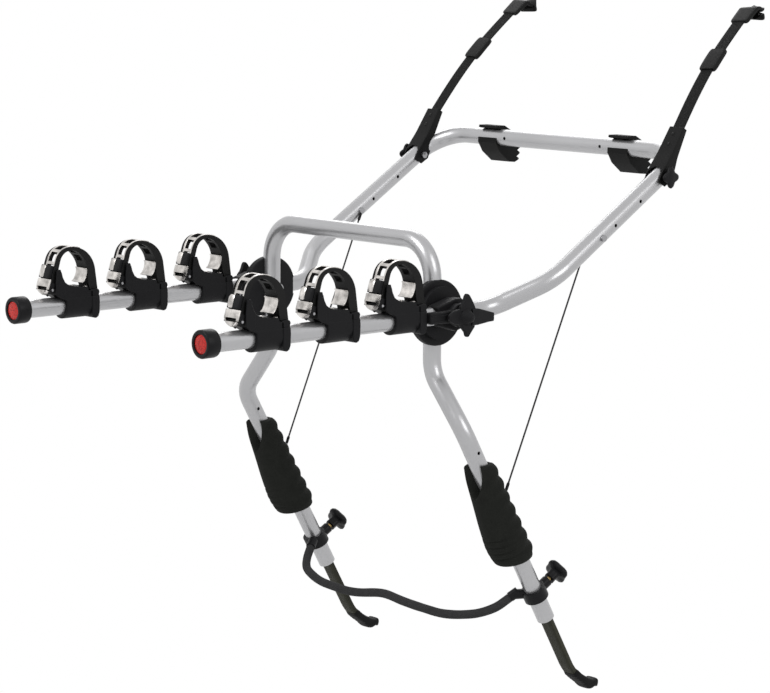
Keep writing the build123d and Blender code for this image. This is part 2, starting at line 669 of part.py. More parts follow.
def collar_knob():
    knob = rod(on_leg(COLLAR_AT, TUBE_R + FACE_GAP), on_leg(COLLAR_AT, COLLAR_KNOB_TOP - OVERRUN), COLLAR_SCREW_R)
    knob += rod(
        on_leg(COLLAR_AT, COLLAR_KNOB_STEM_START), on_leg(COLLAR_AT, COLLAR_KNOB_TOP - COLLAR_KNOB_HEAD_T),
        COLLAR_KNOB_STEM_R,
    )
    start = COLLAR_KNOB_TOP - COLLAR_KNOB_HEAD_T
    reach = COLLAR_KNOB_HEAD_R - COLLAR_KNOB_LOBE_R
    knob += leg_plane(COLLAR_AT, start) * lobed_head(
        COLLAR_KNOB_LOBES, reach, COLLAR_KNOB_LOBE_R, COLLAR_KNOB_HEAD_T,
    )
    return knob


def lobed_head(count, reach, lobe_r, height):
    """Knob head with round lobes, standing on the XY plane."""
    align = (Align.CENTER, Align.CENTER, Align.MIN)
    head = Cylinder(reach, height, align=align)
    for index in range(count):
        angle = radians(360.0 * (index + 0.5) / count)
        head += Pos(reach * cos(angle), reach * sin(angle), 0) * Cylinder(lobe_r, height, align=align)
    return head


def bar_points():
    return half_to_whole([BAR_END, BAR_SHOULDER, BAR_TURN])


def bumper_bar_core():
    bends = [BAR_SHOULDER_R, BAR_TURN_R]
    return pipe(bar_points(), [*bends, *reversed(bends)], BAR_CORE_D / 2)


def bumper_bar_foam():
    points = bar_points()
    step = (Vector(*BAR_SHOULDER) - Vector(*BAR_END)).normalized() * BAR_FOAM_START
    points[0] = tuple(Vector(*BAR_END) + step)
    points[-1] = (-points[0][0], points[0][1], points[0][2])
    bends = [BAR_SHOULDER_R, BAR_TURN_R]
    return pipe(points, [*bends, *reversed(bends)], BAR_FOAM_D / 2, BAR_CORE_D / 2 + FIXED_GAP)


def hook_directions():
    """Direction of the lower hook's tail, and the direction square to it toward the car."""
    turn = radians(LEG_LEAN + HOOK_TURN)
    return Vector(0, sin(turn), -cos(turn)), Vector(0, cos(turn), sin(turn))


def hook_bar(width, thickness, longer=0.0):
    """Flat bar inside the leg, straight out of it, then bent to the car."""
    along = hook_directions()[0]
    corner = on_leg(LEG_LENGTH + HOOK_STRAIGHT)
    places = [on_leg(LEG_LENGTH - HOOK_BAR_INSIDE), corner, corner + along * (HOOK_TAIL + longer)]
    return bent_strip([(place.Y, place.Z) for place in places], [HOOK_BEND_R], KNEE_X, width, thickness)


def lower_hook_strap():
    return hook_bar(HOOK_BAR_W, HOOK_BAR_T)


def lower_hook_tip():
    """Rubber boot over the end of the bar, with a round nose."""
    along, out = hook_directions()
    end = on_leg(LEG_LENGTH + HOOK_STRAIGHT) + along * HOOK_TAIL
    plane = Plane(origin=end - along * HOOK_TIP_LENGTH, x_dir=(1, 0, 0), z_dir=along)
    room = HOOK_TIP_LENGTH + HOOK_TIP_T
    keep = plane * Box(HOOK_TIP_W * 2, room * 2, room, align=(Align.CENTER, Align.CENTER, Align.MIN))
    tip = hook_bar(HOOK_TIP_W, HOOK_TIP_T, HOOK_TIP_T / 2) & keep
    nose = end + out * HOOK_NOSE_REACH
    half = Vector(HOOK_TIP_W / 2, 0, 0)
    tip += rod(nose - half, nose + half, HOOK_NOSE_R)
    return tip - hook_bar(HOOK_BAR_W + FIXED_GAP * 2, HOOK_BAR_T + FIXED_GAP * 2, FIXED_GAP)


# Upper frame
def upper_frame_tube():
    half = [
        (SOCKET_X, UPPER_START_Y, 0), (SOCKET_X, UPPER_BEND_Y, 0), tuple(ELBOW),
        (ELBOW_X, TOP_Y, TOP_Z),
    ]
    bends = [UPPER_BEND_R, ELBOW_BEND_R, TOP_BEND_R]
    tube = pipe(half_to_whole(half), [*bends, *reversed(bends)], TUBE_R, BORE_R)
    reach = ELBOW_X + TUBE_D
    drilled = [(along, SIDE_HOLE_D / 2) for along in SIDE_HOLES]
    drilled.append((CABLE_BOLT_AT, CABLE_BOLT_D / 2 + FIXED_GAP))
    drilled.append((PIVOT_AT, PIVOT_SCREW_R + TURN_GAP))
    for along, radius in drilled:
        hole = on_side(along)
        tube -= x_rod(-reach, reach, hole.Y, hole.Z, radius)
    for sign in (-1, 1):
        x = sign * TOP_HOLE_X
        tube -= rod((x, TOP_Y - TUBE_D, TOP_Z), (x, TOP_Y, TOP_Z), TOP_HOLE_D / 2)
    return tube


def top_bar_pad():
    """Rubber foot under the bar that wraps its car side and ends in a lip on top."""
    half = PAD_W / 2
    outline = [(TOP_Y + y * PAD_REACH, TOP_Z + z * PAD_DROP) for y, z in PAD_OUTLINE_SHARES]
    outline += [(TOP_Y, TOP_Z + TUBE_R + PAD_LIP), (TOP_Y - TUBE_R, TOP_Z + TUBE_R + PAD_LIP)]
    outline += [(TOP_Y - TUBE_R, TOP_Z + TUBE_R), (TOP_Y, TOP_Z + TUBE_R), (TOP_Y, TOP_Z)]
    pad = slab(outline, PAD_X - half, PAD_X + half)
    return pad - x_rod(PAD_X - PAD_W, PAD_X + PAD_W, TOP_Y, TOP_Z, TUBE_R + FIXED_GAP)


def cable_bolt():
    """Bolt through the side tube, head outside, eye for the cable inside."""
    hole = on_side(CABLE_BOLT_AT)
    outer = ELBOW_X + TUBE_R + FIXED_GAP
    inner = ELBOW_X - TUBE_R - FIXED_GAP
    bolt = x_rod(inner - CABLE_EYE_T, outer + CABLE_BOLT_HEAD_T, hole.Y, hole.Z, CABLE_BOLT_D / 2)
    bolt += x_rod(outer, outer + CABLE_BOLT_HEAD_T, hole.Y, hole.Z, CABLE_BOLT_HEAD_D / 2)
    return bolt + x_rod(inner - CABLE_EYE_T, inner, hole.Y, hole.Z, CABLE_EYE_R)


def side_cable():
    """Straight taut cable from the eye on the side tube to the stud on the leg."""
    hole = on_side(CABLE_BOLT_AT)
    upper = Vector(ELBOW_X - TUBE_R - CABLE_EYE_T / 2, hole.Y, hole.Z)
    lower = on_leg(STUD_AT, STUD_HEIGHT)
    along = (lower - upper).normalized()
    start = upper + along * (CABLE_EYE_R + SOFT_GAP)
    end = lower - along * (CABLE_D / 2 + SOFT_GAP)
    return rod(start, end, CABLE_D / 2)


# Upper straps
def bracket_point(along, out):
    point = PIVOT + BRACKET_DIR * along + BRACKET_NORMAL * out
    return point.Y, point.Z


def strap_bracket():
    """Plate outside the side tube, a web over it and a cross pin for the webbing."""
    foot = BRACKET_FOOT_R
    head = BRACKET_HEAD_W / 2
    outline = [
        bracket_point(-foot, -foot / 2), bracket_point(-foot, foot / 2), bracket_point(0, foot),
        bracket_point(BRACKET_REACH, head), bracket_point(BRACKET_REACH, -head),
        bracket_point(0, -foot),
    ]
    inside = TUBE_R + CHEEK_GAP
    channel = slab(outline, ELBOW_X + inside, ELBOW_X + inside + CHEEK_T)
    flange_start = BRACKET_REACH - BRACKET_FLANGE_L
    flange = [
        bracket_point(flange_start, head), bracket_point(BRACKET_REACH, head),
        bracket_point(BRACKET_REACH, -BRACKET_FLANGE_DROP), bracket_point(flange_start, -BRACKET_FLANGE_DROP),
    ]
    channel += slab(flange, ELBOW_X - inside - CHEEK_T, ELBOW_X - inside)
    web = [
        bracket_point(BRACKET_WEB_START, head), bracket_point(BRACKET_REACH, head),
        bracket_point(BRACKET_REACH, head - BRACKET_WEB_T),
        bracket_point(BRACKET_WEB_START, head - BRACKET_WEB_T),
    ]
    channel += slab(web, ELBOW_X - inside - CHEEK_T, ELBOW_X + inside + CHEEK_T)
    channel += x_rod(
        ELBOW_X - inside, ELBOW_X + inside, WEBBING_START.Y, WEBBING_START.Z, BRACKET_PIN_R,
    )
    reach = inside + CHEEK_T + OVERRUN
    return channel - x_rod(ELBOW_X - reach, ELBOW_X + reach, PIVOT.Y, PIVOT.Z, PIVOT_SCREW_R + TURN_GAP)


def bracket_knob():
    """Lobed knob outside the bracket with its screw and the nut on the inner side."""
    cheek = TUBE_R + CHEEK_GAP + CHEEK_T + FACE_GAP
    knob = x_rod(ELBOW_X - cheek - PIVOT_NUT_T, ELBOW_X + cheek, PIVOT.Y, PIVOT.Z, PIVOT_SCREW_R)
    knob += x_rod(ELBOW_X - cheek - PIVOT_NUT_T, ELBOW_X - cheek, PIVOT.Y, PIVOT.Z, PIVOT_NUT_R)
    plane = Plane(origin=(ELBOW_X + cheek, PIVOT.Y, PIVOT.Z), x_dir=(0, 1, 0), z_dir=(1, 0, 0))
    reach = SIDE_KNOB_R - SIDE_KNOB_LOBE_R
    return knob + plane * lobed_head(SIDE_KNOB_LOBES, reach, SIDE_KNOB_LOBE_R, SIDE_KNOB_T)


def webbing_plane(along, lift=0.0):
    """Plane on the webbing: x along it toward the hook, y across the rack."""
    start = Vector(ELBOW_X, WEBBING_START.Y, WEBBING_START.Z)
    direction = (Vector(*WEBBING_END) - start).normalized()
    normal = direction.cross(Vector(1, 0, 0)).normalized() * -1
    return Plane(origin=start + direction * along + normal * lift, x_dir=direction, z_dir=normal)


def webbing_length():
    start = Vector(ELBOW_X, WEBBING_START.Y, WEBBING_START.Z)
    return (Vector(*WEBBING_END) - start).length


def upper_strap():
    start = BRACKET_PIN_R + SOFT_GAP + WEBBING_T / 2
    return webbing_plane(start) * Box(
        webbing_length() - start, WEBBING_W, WEBBING_T, align=(Align.MIN, Align.CENTER, Align.CENTER),
    )


def strap_slider():
    slider = webbing_plane(SLIDER_AT) * Box(SLIDER_L, SLIDER_W, SLIDER_T)
    slot = webbing_plane(SLIDER_AT) * Box(
        SLIDER_L + OVERRUN, WEBBING_W + SOFT_GAP * 2, WEBBING_T + SOFT_GAP * 2,
    )
    return slider - slot


def upper_hook():
    """Flat coated hook: a back along the webbing, a nose turned down to the car, a lip."""
    first = radians(-LID_HOOK_TURN)
    second = first - radians(LID_HOOK_LIP_TURN)
    start = SOFT_GAP
    back = (start + LID_HOOK_BACK, 0)
    nose = (back[0] + LID_HOOK_NOSE * cos(first), LID_HOOK_NOSE * sin(first))
    lip = (nose[0] + LID_HOOK_LIP * cos(second), nose[1] + LID_HOOK_LIP * sin(second))
    line = FilletPolyline((start, 0), back, nose, lip, radius=[LID_HOOK_T, LID_HOOK_T])
    plane = webbing_plane(webbing_length())
    side_plane = Plane(origin=plane.origin, x_dir=plane.x_dir, z_dir=plane.y_dir * -1)
    path = side_plane * line
    section = Plane(origin=path @ 0, x_dir=plane.y_dir, z_dir=path % 0)
    return sweep(section * Rectangle(LID_HOOK_W, LID_HOOK_T), path=path)


def build():
    save("lower_frame_tube", lower_frame_tube())
    save_both("hub_pivot_bolts", hub_bolt())
    save_both("hub_inner_discs", hub_inner_disc())
    save_both("leg_foam_sleeves", foam_sleeve())
    save_both("lower_cable_studs", lower_cable_stud())
    save_both("bumper_collars", bumper_collar())
    save("bumper_bar_core", bumper_bar_core())
    save("bumper_bar_foam", bumper_bar_foam())
    save("upper_frame_tube", upper_frame_tube())
    save_both("hub_frame_sockets", hub_frame_socket())
    save_both("top_bar_pads", top_bar_pad())
    save_both("cable_bolts", cable_bolt())
    save_pair("side_cable", side_cable())
    save_pair("arm_tube", arm_tube())
    save_pair("arm_end_cap", arm_end_cap())
    save_pair("reflector", reflector())
    save_pair("arm_clamp", arm_clamp())
    save_pair("hub_knob", hub_knob())
    save_pair("lower_hook_strap", lower_hook_strap())
    save_pair("lower_hook_tip", lower_hook_tip())
    save_pair("collar_knob", collar_knob())
    save_pair("strap_bracket", strap_bracket())
    save_pair("bracket_knob", bracket_knob())
    save_pair("upper_strap", upper_strap())
    save_pair("strap_slider", strap_slider())
    save_pair("upper_hook", upper_hook())
    saddles = []
    for index in range(CRADLE_COUNT):
        centre_y = -CRADLE_FIRST_Y - CRADLE_PITCH * index
        saddles.append(saddle(centre_y))
        label = index + 1
        save_pair(f"cradle_strap_{label}", cradle_strap(centre_y))
        save_pair(f"cradle_ladder_{label}", *cradle_ladder(centre_y))
        save_pair(f"cradle_buckle_{label}", cradle_buckle(centre_y))
    save_pair("cradle_saddles", *saddles)


build()
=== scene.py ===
"""Looks of a trunk mounted bike rack: finishes, foam, rubber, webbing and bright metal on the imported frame.

Frame: the origin is the middle of the hub axis, +X across the car, +Y toward the car, +Z up.
Shapes are worked out in millimetres, those in pairs for the right side and mirrored for the left one,
and written to their meshes in metres.
"""

import math

import bmesh
import bpy
import numpy as np
from mathutils import Matrix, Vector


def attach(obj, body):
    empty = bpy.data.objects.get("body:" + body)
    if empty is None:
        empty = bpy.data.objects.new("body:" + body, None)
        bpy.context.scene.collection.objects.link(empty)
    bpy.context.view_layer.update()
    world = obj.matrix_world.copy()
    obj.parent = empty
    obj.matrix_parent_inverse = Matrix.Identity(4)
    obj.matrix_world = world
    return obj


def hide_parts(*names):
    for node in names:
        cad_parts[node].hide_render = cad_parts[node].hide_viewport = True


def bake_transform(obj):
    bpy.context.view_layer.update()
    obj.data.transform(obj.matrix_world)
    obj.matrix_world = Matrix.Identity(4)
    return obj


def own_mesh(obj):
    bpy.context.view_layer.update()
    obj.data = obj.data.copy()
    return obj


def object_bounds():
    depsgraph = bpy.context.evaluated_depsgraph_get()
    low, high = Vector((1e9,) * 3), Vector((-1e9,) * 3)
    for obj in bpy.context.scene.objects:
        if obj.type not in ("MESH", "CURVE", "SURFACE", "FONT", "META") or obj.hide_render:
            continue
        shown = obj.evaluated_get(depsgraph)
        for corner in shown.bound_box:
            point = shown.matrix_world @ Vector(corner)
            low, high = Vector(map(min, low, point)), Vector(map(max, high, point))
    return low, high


bl_info = {
    "name": "Trunk bike rack looks",
    "version": (1, 0, 0),
    "blender": (4, 5, 0),
    "location": "3D View > Sidebar > Bike Rack",
    "description": "Builds the finishes and soft parts of a trunk mounted bike rack",
    "category": "Object",
}

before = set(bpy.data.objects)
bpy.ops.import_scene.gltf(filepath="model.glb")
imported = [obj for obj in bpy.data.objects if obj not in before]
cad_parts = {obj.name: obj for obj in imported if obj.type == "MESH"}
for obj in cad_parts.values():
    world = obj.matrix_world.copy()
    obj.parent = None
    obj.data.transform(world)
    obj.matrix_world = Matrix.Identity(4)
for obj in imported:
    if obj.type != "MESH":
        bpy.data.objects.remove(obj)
CAD_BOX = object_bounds()

MM = 0.001
SIDES = (("right", 1), ("left", -1))
CRADLES = (1, 2, 3)
ACROSS = np.array([1.0, 0.0, 0.0])


# Vectors, lines and curves
def unit(v):
    """The vector, or each row of vectors, divided by its own length."""
    v = np.asarray(v, float)
    return v / np.linalg.norm(v, axis=-1, keepdims=True)


def heading(degrees):
    """Direction in the plane of Y and Z that points that many degrees above +Y."""
    turn = math.radians(degrees)
    return np.array([0.0, math.cos(turn), math.sin(turn)])


def rounded_line(corners, radii, step=2.5):
    """Straight runs joined by arcs.  A corner is cut back by its radius over the tangent of half the
    angle between its runs, and an arc about the centre on their bisector bridges the cut."""
    corners = [np.asarray(c, float) for c in corners]
    runs = [corners[0][None]]
    for before, here, after, radius in zip(corners, corners[1:], corners[2:], radii):
        back, on = unit(before - here), unit(after - here)
        half = math.acos(float(np.clip(back @ on, -1, 1))) / 2
        centre = here + unit(back + on) * radius / math.sin(half)
        turn = math.pi - 2 * half
        start = here + back * radius / math.tan(half) - centre
        end = here + on * radius / math.tan(half) - centre
        t = np.linspace(0, 1, max(4, int(radius * turn / step)))[:, None]
        runs.append(centre + (np.sin((1 - t) * turn) * start + np.sin(t * turn) * end) / math.sin(turn))
    runs.append(corners[-1][None])
    return np.concatenate(runs)


def distances(points):
    """Distance of each point from the first, along the line."""
    return np.concatenate([[0.0], np.cumsum(np.linalg.norm(np.diff(points, axis=0), axis=1))])


def at_distances(points, places):
    """Points of the line at given distances from its start."""
    s = distances(points)
    return np.stack([np.interp(places, s, points[:, k]) for k in range(3)], axis=1)


def spread(points, step):
    """The line again, with points about one step apart."""
    s = distances(points)
    return at_distances(points, np.linspace(0, s[-1], max(2, int(s[-1] / step) + 1)))


def eased(x, xs, ys):
    """Curve through the given knots, each span a cubic that starts and ends with the knots' mean slope."""
    xs, ys = np.asarray(xs, float), np.asarray(ys, float)
    slopes = np.gradient(ys, xs)
    x = np.clip(x, xs[0], xs[-1])
    k = np.clip(np.searchsorted(xs, x) - 1, 0, len(xs) - 2)
    width = xs[k + 1] - xs[k]
    t = (x - xs[k]) / width
    return (
        (2 * t**3 - 3 * t**2 + 1) * ys[k] + (t**3 - 2 * t**2 + t) * width * slopes[k]
        + (3 * t**2 - 2 * t**3) * ys[k + 1] + (t**3 - t**2) * width * slopes[k + 1]
    )


def carried(points, reference, across, lift):
    """A closed profile carried along a line: point + across * side + lift * up.  Side is square to the
    tangent and the reference, up to both.  Across and lift hold one value for each point of the profile,
    or a row of them for each point of the line."""
    tangent = unit(np.gradient(points, axis=0))
    side = unit(np.cross(tangent, np.asarray(reference, float)))
    up = np.cross(side, tangent)
    across, lift = np.atleast_2d(across), np.atleast_2d(lift)
    return points[:, None] + across[..., None] * side[:, None] + lift[..., None] * up[:, None]


def circle(count):
    """Cosine and sine of evenly spaced angles, the first of them 0."""
    turn = np.linspace(0, 2 * math.pi, count, endpoint=False)
    return np.cos(turn), np.sin(turn)


def soft_rectangle(width, height, power, count=48):
    """Superellipse: both coordinates are the circle's, raised to 2 / power with their sign kept, times
    half the width and half the height."""
    pairs = zip(circle(count), (width, height))
    return [np.sign(v) * np.abs(v) ** (2 / power) * length / 2 for v, length in pairs]


def turned(start, direction, places, radii, count, lobes=0, depth=0.0):
    """Surface of revolution: at each place along the axis a ring of the given radius, which the lobes
    change by depth times the cosine of the lobe count times the angle."""
    direction = unit(direction)
    helper = ACROSS if abs(direction[0]) < 0.9 else np.array([0, 0, 1.0])
    side = unit(np.cross(direction, helper))
    up = np.cross(side, direction)
    turn = np.linspace(0, 2 * math.pi, count, endpoint=False)
    radii = np.asarray(radii, float)[:, None] * np.ones(count)
    if lobes:
        radii = radii + np.asarray(depth)[:, None] * np.cos(lobes * turn)
    ring = np.cos(turn)[:, None] * side + np.sin(turn)[:, None] * up
    axis = np.asarray(start, float) + np.asarray(places, float)[:, None] * direction
    return axis[:, None] + radii[..., None] * ring[None]


def reflected(points, sign):
    """The same points, or their mirror image on the left side."""
    return points * np.array([sign, 1.0, 1.0])


# Places that the frame gives, in millimetres
TUBE_R = 15.0
LEG_DIR = heading(-60.5)
LEG_OUT = heading(29.5)
KNEE = np.array([283.5, 0.0, -189.4])
LEG_LENGTH = 390.3
COLLAR_AT = 336.0
CABLE_STUD_AT, CABLE_STUD_OUT = 143.0, 29.0
ELBOW = np.array([305.4, 178.6, 47.7])
SIDE_DIR = unit([0.0, 311.9, 193.9])
CABLE_BOLT_AT = 119.0
TOP_Y, TOP_Z, PAD_X = 490.5, 241.6, 164.0
ARM_X, ARM_CAP_Y = 248.3, -513.5
CRADLE_Y = {label: -102.0 - 142.0 * k for k, label in enumerate(CRADLES)}
LEVER_PIN, FRONT_PIN = (-60.0, 30.0), (29.0, 20.5)
BAR_X = (0.0, 55.0, 110.0, 160.0, 195.0, 225.0, 246.0, 258.0)
BAR_Y = (78.0, 74.0, 71.5, 74.0, 82.8, 94.5, 113.0, 131.0)
BAR_Z = (-519.5, -523.0, -525.0, -526.0, -522.4, -515.6, -504.5, -490.0)
PIVOT = ELBOW + SIDE_DIR * 296.0
BRACKET_DIR, BRACKET_OUT = heading(60.0), heading(150.0)
WEB_START = PIVOT + BRACKET_DIR * 86.0
WEB_END = np.array([286.0, 651.0, 463.0])
WEB_DIR = unit(WEB_END - WEB_START)
WEB_OUT = np.cross(ACROSS, WEB_DIR)
WEB_LENGTH = float(np.linalg.norm(WEB_END - WEB_START))


def on_leg(along, out=0.0):
    """Point at a place along the right leg, moved square to it toward the car."""
    return KNEE + LEG_DIR * along + LEG_OUT * out


def at_cradle(centre, point, x=0.0):
    """Point beside the right arm's axis from a pair (y, z), y counted from the cradle's middle."""
    return np.array([ARM_X + x, centre + point[0], point[1]])


# Meshes
def quads(rows, columns, wrap_rows=False, wrap_columns=False):
    """Corner numbers of the faces of a grid, which may close on itself either way."""
    i = np.arange(rows if wrap_rows else rows - 1)[:, None]
    j = np.arange(columns if wrap_columns else columns - 1)[None]
    i2, j2 = (i + 1) % rows, (j + 1) % columns
    corners = [i * columns + j, i * columns + j2, i2 * columns + j2, i2 * columns + j]
    return np.stack([np.broadcast_to(c, (i.shape[0], j.shape[1])) for c in corners], -1)


def new_object(name, points, faces, material, sharp=40.0):
    """Object at the origin whose mesh holds the points, in metres, with its faces turned outward."""
    mesh = bpy.data.meshes.new(name)
    mesh.from_pydata((np.asarray(points).reshape(-1, 3) * MM).tolist(), [], faces)
    shell = bmesh.new()
    shell.from_mesh(mesh)
    bmesh.ops.recalc_face_normals(shell, faces=shell.faces)
    shell.to_mesh(mesh)
    shell.free()
    mesh.shade_smooth()
    mesh.set_sharp_from_angle(angle=math.radians(sharp))
    obj = bpy.data.objects.new(name, mesh)
    bpy.context.scene.collection.objects.link(obj)
    mesh.materials.append(material)
    return obj


def pattern_map(obj, along, across):
    """UV map in metres from a place along and a place across for each vertex."""
    layer = obj.data.uv_layers.new(name="Pattern")
    corner = np.empty(len(obj.data.loops), np.int32)
    obj.data.loops.foreach_get("vertex_index", corner)
    pairs = np.stack([v.ravel() for v in np.broadcast_arrays(along, across)], -1)[corner] * MM
    layer.data.foreach_set("uv", pairs.astype(np.float32).ravel())


def compact(points, faces):
    """Points that the faces use, the faces renumbered to them, and which points these are."""
    used, corners = np.unique(faces, return_inverse=True)
    return points.reshape(-1, 3)[used], corners.reshape(-1, 4).tolist(), used


def soften(obj, width, segments=2):
    """Rounds every edge that turns by more than 40 degrees."""
    edge = obj.modifiers.new("Soft edges", "BEVEL")
    edge.width = width * MM
    edge.segments = segments
    edge.limit_method = "ANGLE"
    edge.angle_limit = math.radians(40)
    edge.harden_normals = True


def place(obj, body, slot, *nodes):
    """The piece rides on a body and stands for CAD nodes, which it hides; the slot is not used."""
    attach(obj, body)
    if nodes:
        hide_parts(*nodes)
    return obj


def skin(name, rings, sign, look, wrap=False, sharp=35.0):
    """Rings of points made a closed surface: its ends are capped, or joined where it wraps."""
    rows, columns = rings.shape[:2]
    faces = quads(rows, columns, wrap, True).reshape(-1, 4).tolist()
    if not wrap:
        faces.append(list(range(columns)))
        faces.append(list(range((rows - 1) * columns, rows * columns)))
    return new_object(name, reflected(rings, sign), faces, finish(look), sharp)


def prism(name, outline, x0, x1, sign, look, bevel=1.2):
    """Outline of (y, z) points carried straight along X from x0 to x1."""
    outline = np.asarray(outline, float)
    rings = np.stack([np.column_stack([np.full(len(outline), x), outline]) for x in (x0, x1)])
    obj = skin(name, rings, sign, look, sharp=30.0)
    soften(obj, bevel, 3)
    return obj


def plate(name, grid, sign, look, thickness, bevel, kept=None):
    """Open grid of points, less the cells that kept leaves out, given a wall and soft edges."""
    faces = quads(*grid.shape[:2])
    if kept is not None:
        faces = faces[kept]
    points, faces, _ = compact(reflected(grid, sign), faces.reshape(-1, 4))
    obj = new_object(name, points, faces, finish(look))
    wall = obj.modifiers.new("Wall", "SOLIDIFY")
    wall.thickness = thickness * MM
    wall.offset = 0.0
    soften(obj, bevel)
    return obj


def slotted(name, outer, inner, kept, sign, look, bevel):
    """Closed shell between two grids: kept cells are faced on both, and a wall stands on every edge
    between a kept cell and a missing one.  Also says which points of the two grids it uses."""
    rows, columns = outer.shape[:2]
    cells = quads(rows, columns)
    count = rows * columns
    faces = [cells[kept], cells[kept][:, ::-1] + count]
    around = np.pad(kept, 1)
    for down, right, a, b in ((-1, 0, 0, 1), (1, 0, 2, 3), (0, -1, 3, 0), (0, 1, 1, 2)):
        beside = around[1 + down:rows + down, 1 + right:columns + right]
        edge = cells[kept & ~beside]
        faces.append(np.stack([edge[:, b], edge[:, a], edge[:, a] + count, edge[:, b] + count], -1))
    points = reflected(np.concatenate([outer.reshape(-1, 3), inner.reshape(-1, 3)]), sign)
    points, faces, used = compact(points, np.concatenate(faces))
    obj = new_object(name, points, faces, finish(look))
    soften(obj, bevel)
    return obj, used


# Shader maths
class Value:
    """A node's output, whose operators add Math nodes."""

    def __init__(self, nodes, source):
        self.nodes = nodes
        self.source = source

    def output(self, key):
        """Another output of the same node."""
        return Value(self.nodes, self.source.node.outputs[key])

    def maths(self, operation, *values):
        return self.nodes.node("ShaderNodeMath", {"operation": operation}, *values)

    def __add__(self, other):
        return self.maths("ADD", self, other)

    def __mul__(self, other):
        return self.maths("MULTIPLY", self, other)

    def __sub__(self, other):
        return self.maths("SUBTRACT", self, other)

    def __rsub__(self, other):
        return self.maths("SUBTRACT", other, self)

    __radd__ = __add__
    __rmul__ = __mul__

    def larger(self, other):
        return self.maths("MAXIMUM", self, other)

    def waves(self, pitch):
        """Sine that starts again at each pitch of the value."""
        return self.maths("SINE", self * (2 * math.pi / pitch))

    def clamped(self):
        return self.nodes.node("ShaderNodeClamp", {}, self, 0.0, 1.0)


class Nodes:
    """A node tree whose nodes get their settings first and their sockets after."""

    def __init__(self, tree):
        self.tree = tree

    def node(self, kind, settings, *inputs, output=0):
        """Adds a node.  Its sockets are filled in order, or from a dictionary of their names or numbers."""
        made = self.tree.nodes.new(kind)
        for name, value in settings.items():
            setattr(made, name, value)
        for index, value in enumerate(inputs):
            for key, item in (value if isinstance(value, dict) else {index: value}).items():
                self.link(item, made.inputs[key])
        return Value(self, made.outputs[output])

    def link(self, value, socket):
        """Links a value to a socket, or sets the socket to a number, vector or colour."""
        if isinstance(value, Value):
            self.tree.links.new(value.source, socket)
        elif isinstance(value, tuple) and len(value) < len(socket.default_value):
            socket.default_value = (*value, 1.0)
        else:
            socket.default_value = value

    def end(self, kind, value):
        """Feeds the tree's output node."""
        self.link(value, self.tree.nodes.new(kind).inputs[0])


def cleared(data):
    """The node tree of a material or a world, emptied."""
    data.use_nodes = True
    data.node_tree.nodes.clear()
    return Nodes(data.node_tree)


def seen_directly(nodes):
    """1 for rays from the camera, and for glossy and transmitted ones, 0 for the others."""
    path = nodes.node("ShaderNodeLightPath", {}, output="Is Camera Ray")
    return path.larger(path.output("Is Transmission Ray")).larger(path.output("Is Glossy Ray"))


class Finish(Nodes):
    """A procedural material with one Principled shader."""

    def __init__(self, name, colour, roughness, metallic=0.0, coat=0.0, specular=0.5):
        self.material = bpy.data.materials.new(name)
        self.material.use_nodes = True
        super().__init__(self.material.node_tree)
        self.base = tuple(colour)
        self.sockets = self.tree.nodes["Principled BSDF"].inputs
        self.feed({"Base Color": self.base, "Roughness": roughness, "Metallic": metallic,
                   "Coat Weight": coat, "Coat Roughness": 0.2, "Specular IOR Level": specular})

    def feed(self, values):
        """Fills sockets of the shader by their names."""
        for name, value in values.items():
            self.link(value, self.sockets[name])

    def coordinates(self, scale=(1, 1, 1), mapped=False):
        """Object coordinates, or the piece's own map, scaled."""
        if mapped:
            source = self.node("ShaderNodeUVMap", {"uv_map": "Pattern"})
        else:
            source = self.node("ShaderNodeTexCoord", {}, output="Object")
        return self.node("ShaderNodeMapping", {}, source, {"Scale": scale})

    def parts(self, vector):
        """The three numbers of a vector."""
        made = self.node("ShaderNodeSeparateXYZ", {}, vector)
        return [made.output(k) for k in range(3)]

    def noise(self, scale, detail=3.0, vector=None):
        return self.node(
            "ShaderNodeTexNoise", {}, vector or self.coordinates(), {"Scale": scale, "Detail": detail})

    def cells(self, scale, vector=None):
        """Distance from the nearest point of a random scatter."""
        return self.node("ShaderNodeTexVoronoi", {}, vector or self.coordinates(), {"Scale": scale})

    def shades(self, factor, low, high):
        """The finish's colour times low where the factor is 0, and times high where it is 1."""
        dark, light = [tuple(min(1.0, c * times) for c in self.base) for times in (low, high)]
        mixed = {0: factor.clamped(), 6: dark, 7: light}
        return self.node("ShaderNodeMix", {"data_type": "RGBA"}, mixed, output=2)

    def done(self, height, distance, strength=1.0, **fed):
        """The material, once a bump of the given height and depth and the other sockets are fed."""
        bump = self.node("ShaderNodeBump", {}, {"Height": height, "Strength": strength, "Distance": distance})
        self.feed({"Normal": bump})
        self.feed({name.replace("_", " ").title(): value for name, value in fed.items()})
        return self.material


# Finishes
def painted_tube(colour, sheen):
    """Silver coat: fine metal flakes, faint clouds along the tubes and handling marks in the gloss."""
    f = Finish("silver_coat", colour, sheen, metallic=0.7, coat=0.1)
    flakes = f.noise(1400.0, 2.0)
    cloud = f.noise(9.0, 4.0)
    return f.done(flakes, 0.00004, base_color=f.shades(cloud * 0.7 + flakes * 0.3, 0.9, 1.08),
                  roughness=cloud * 0.1 + (sheen - 0.05))


def grained_plastic(name, colour, gloss, grain=900.0, depth=0.00012):
    """Moulded plastic: a fine grain and slightly uneven gloss."""
    f = Finish(name, colour, gloss, specular=0.14)
    cloud = f.noise(30.0, 3.0)
    return f.done(f.cells(grain), depth, 0.6, base_color=f.shades(cloud, 0.75, 1.35),
                  roughness=cloud * 0.18 + (gloss - 0.09))


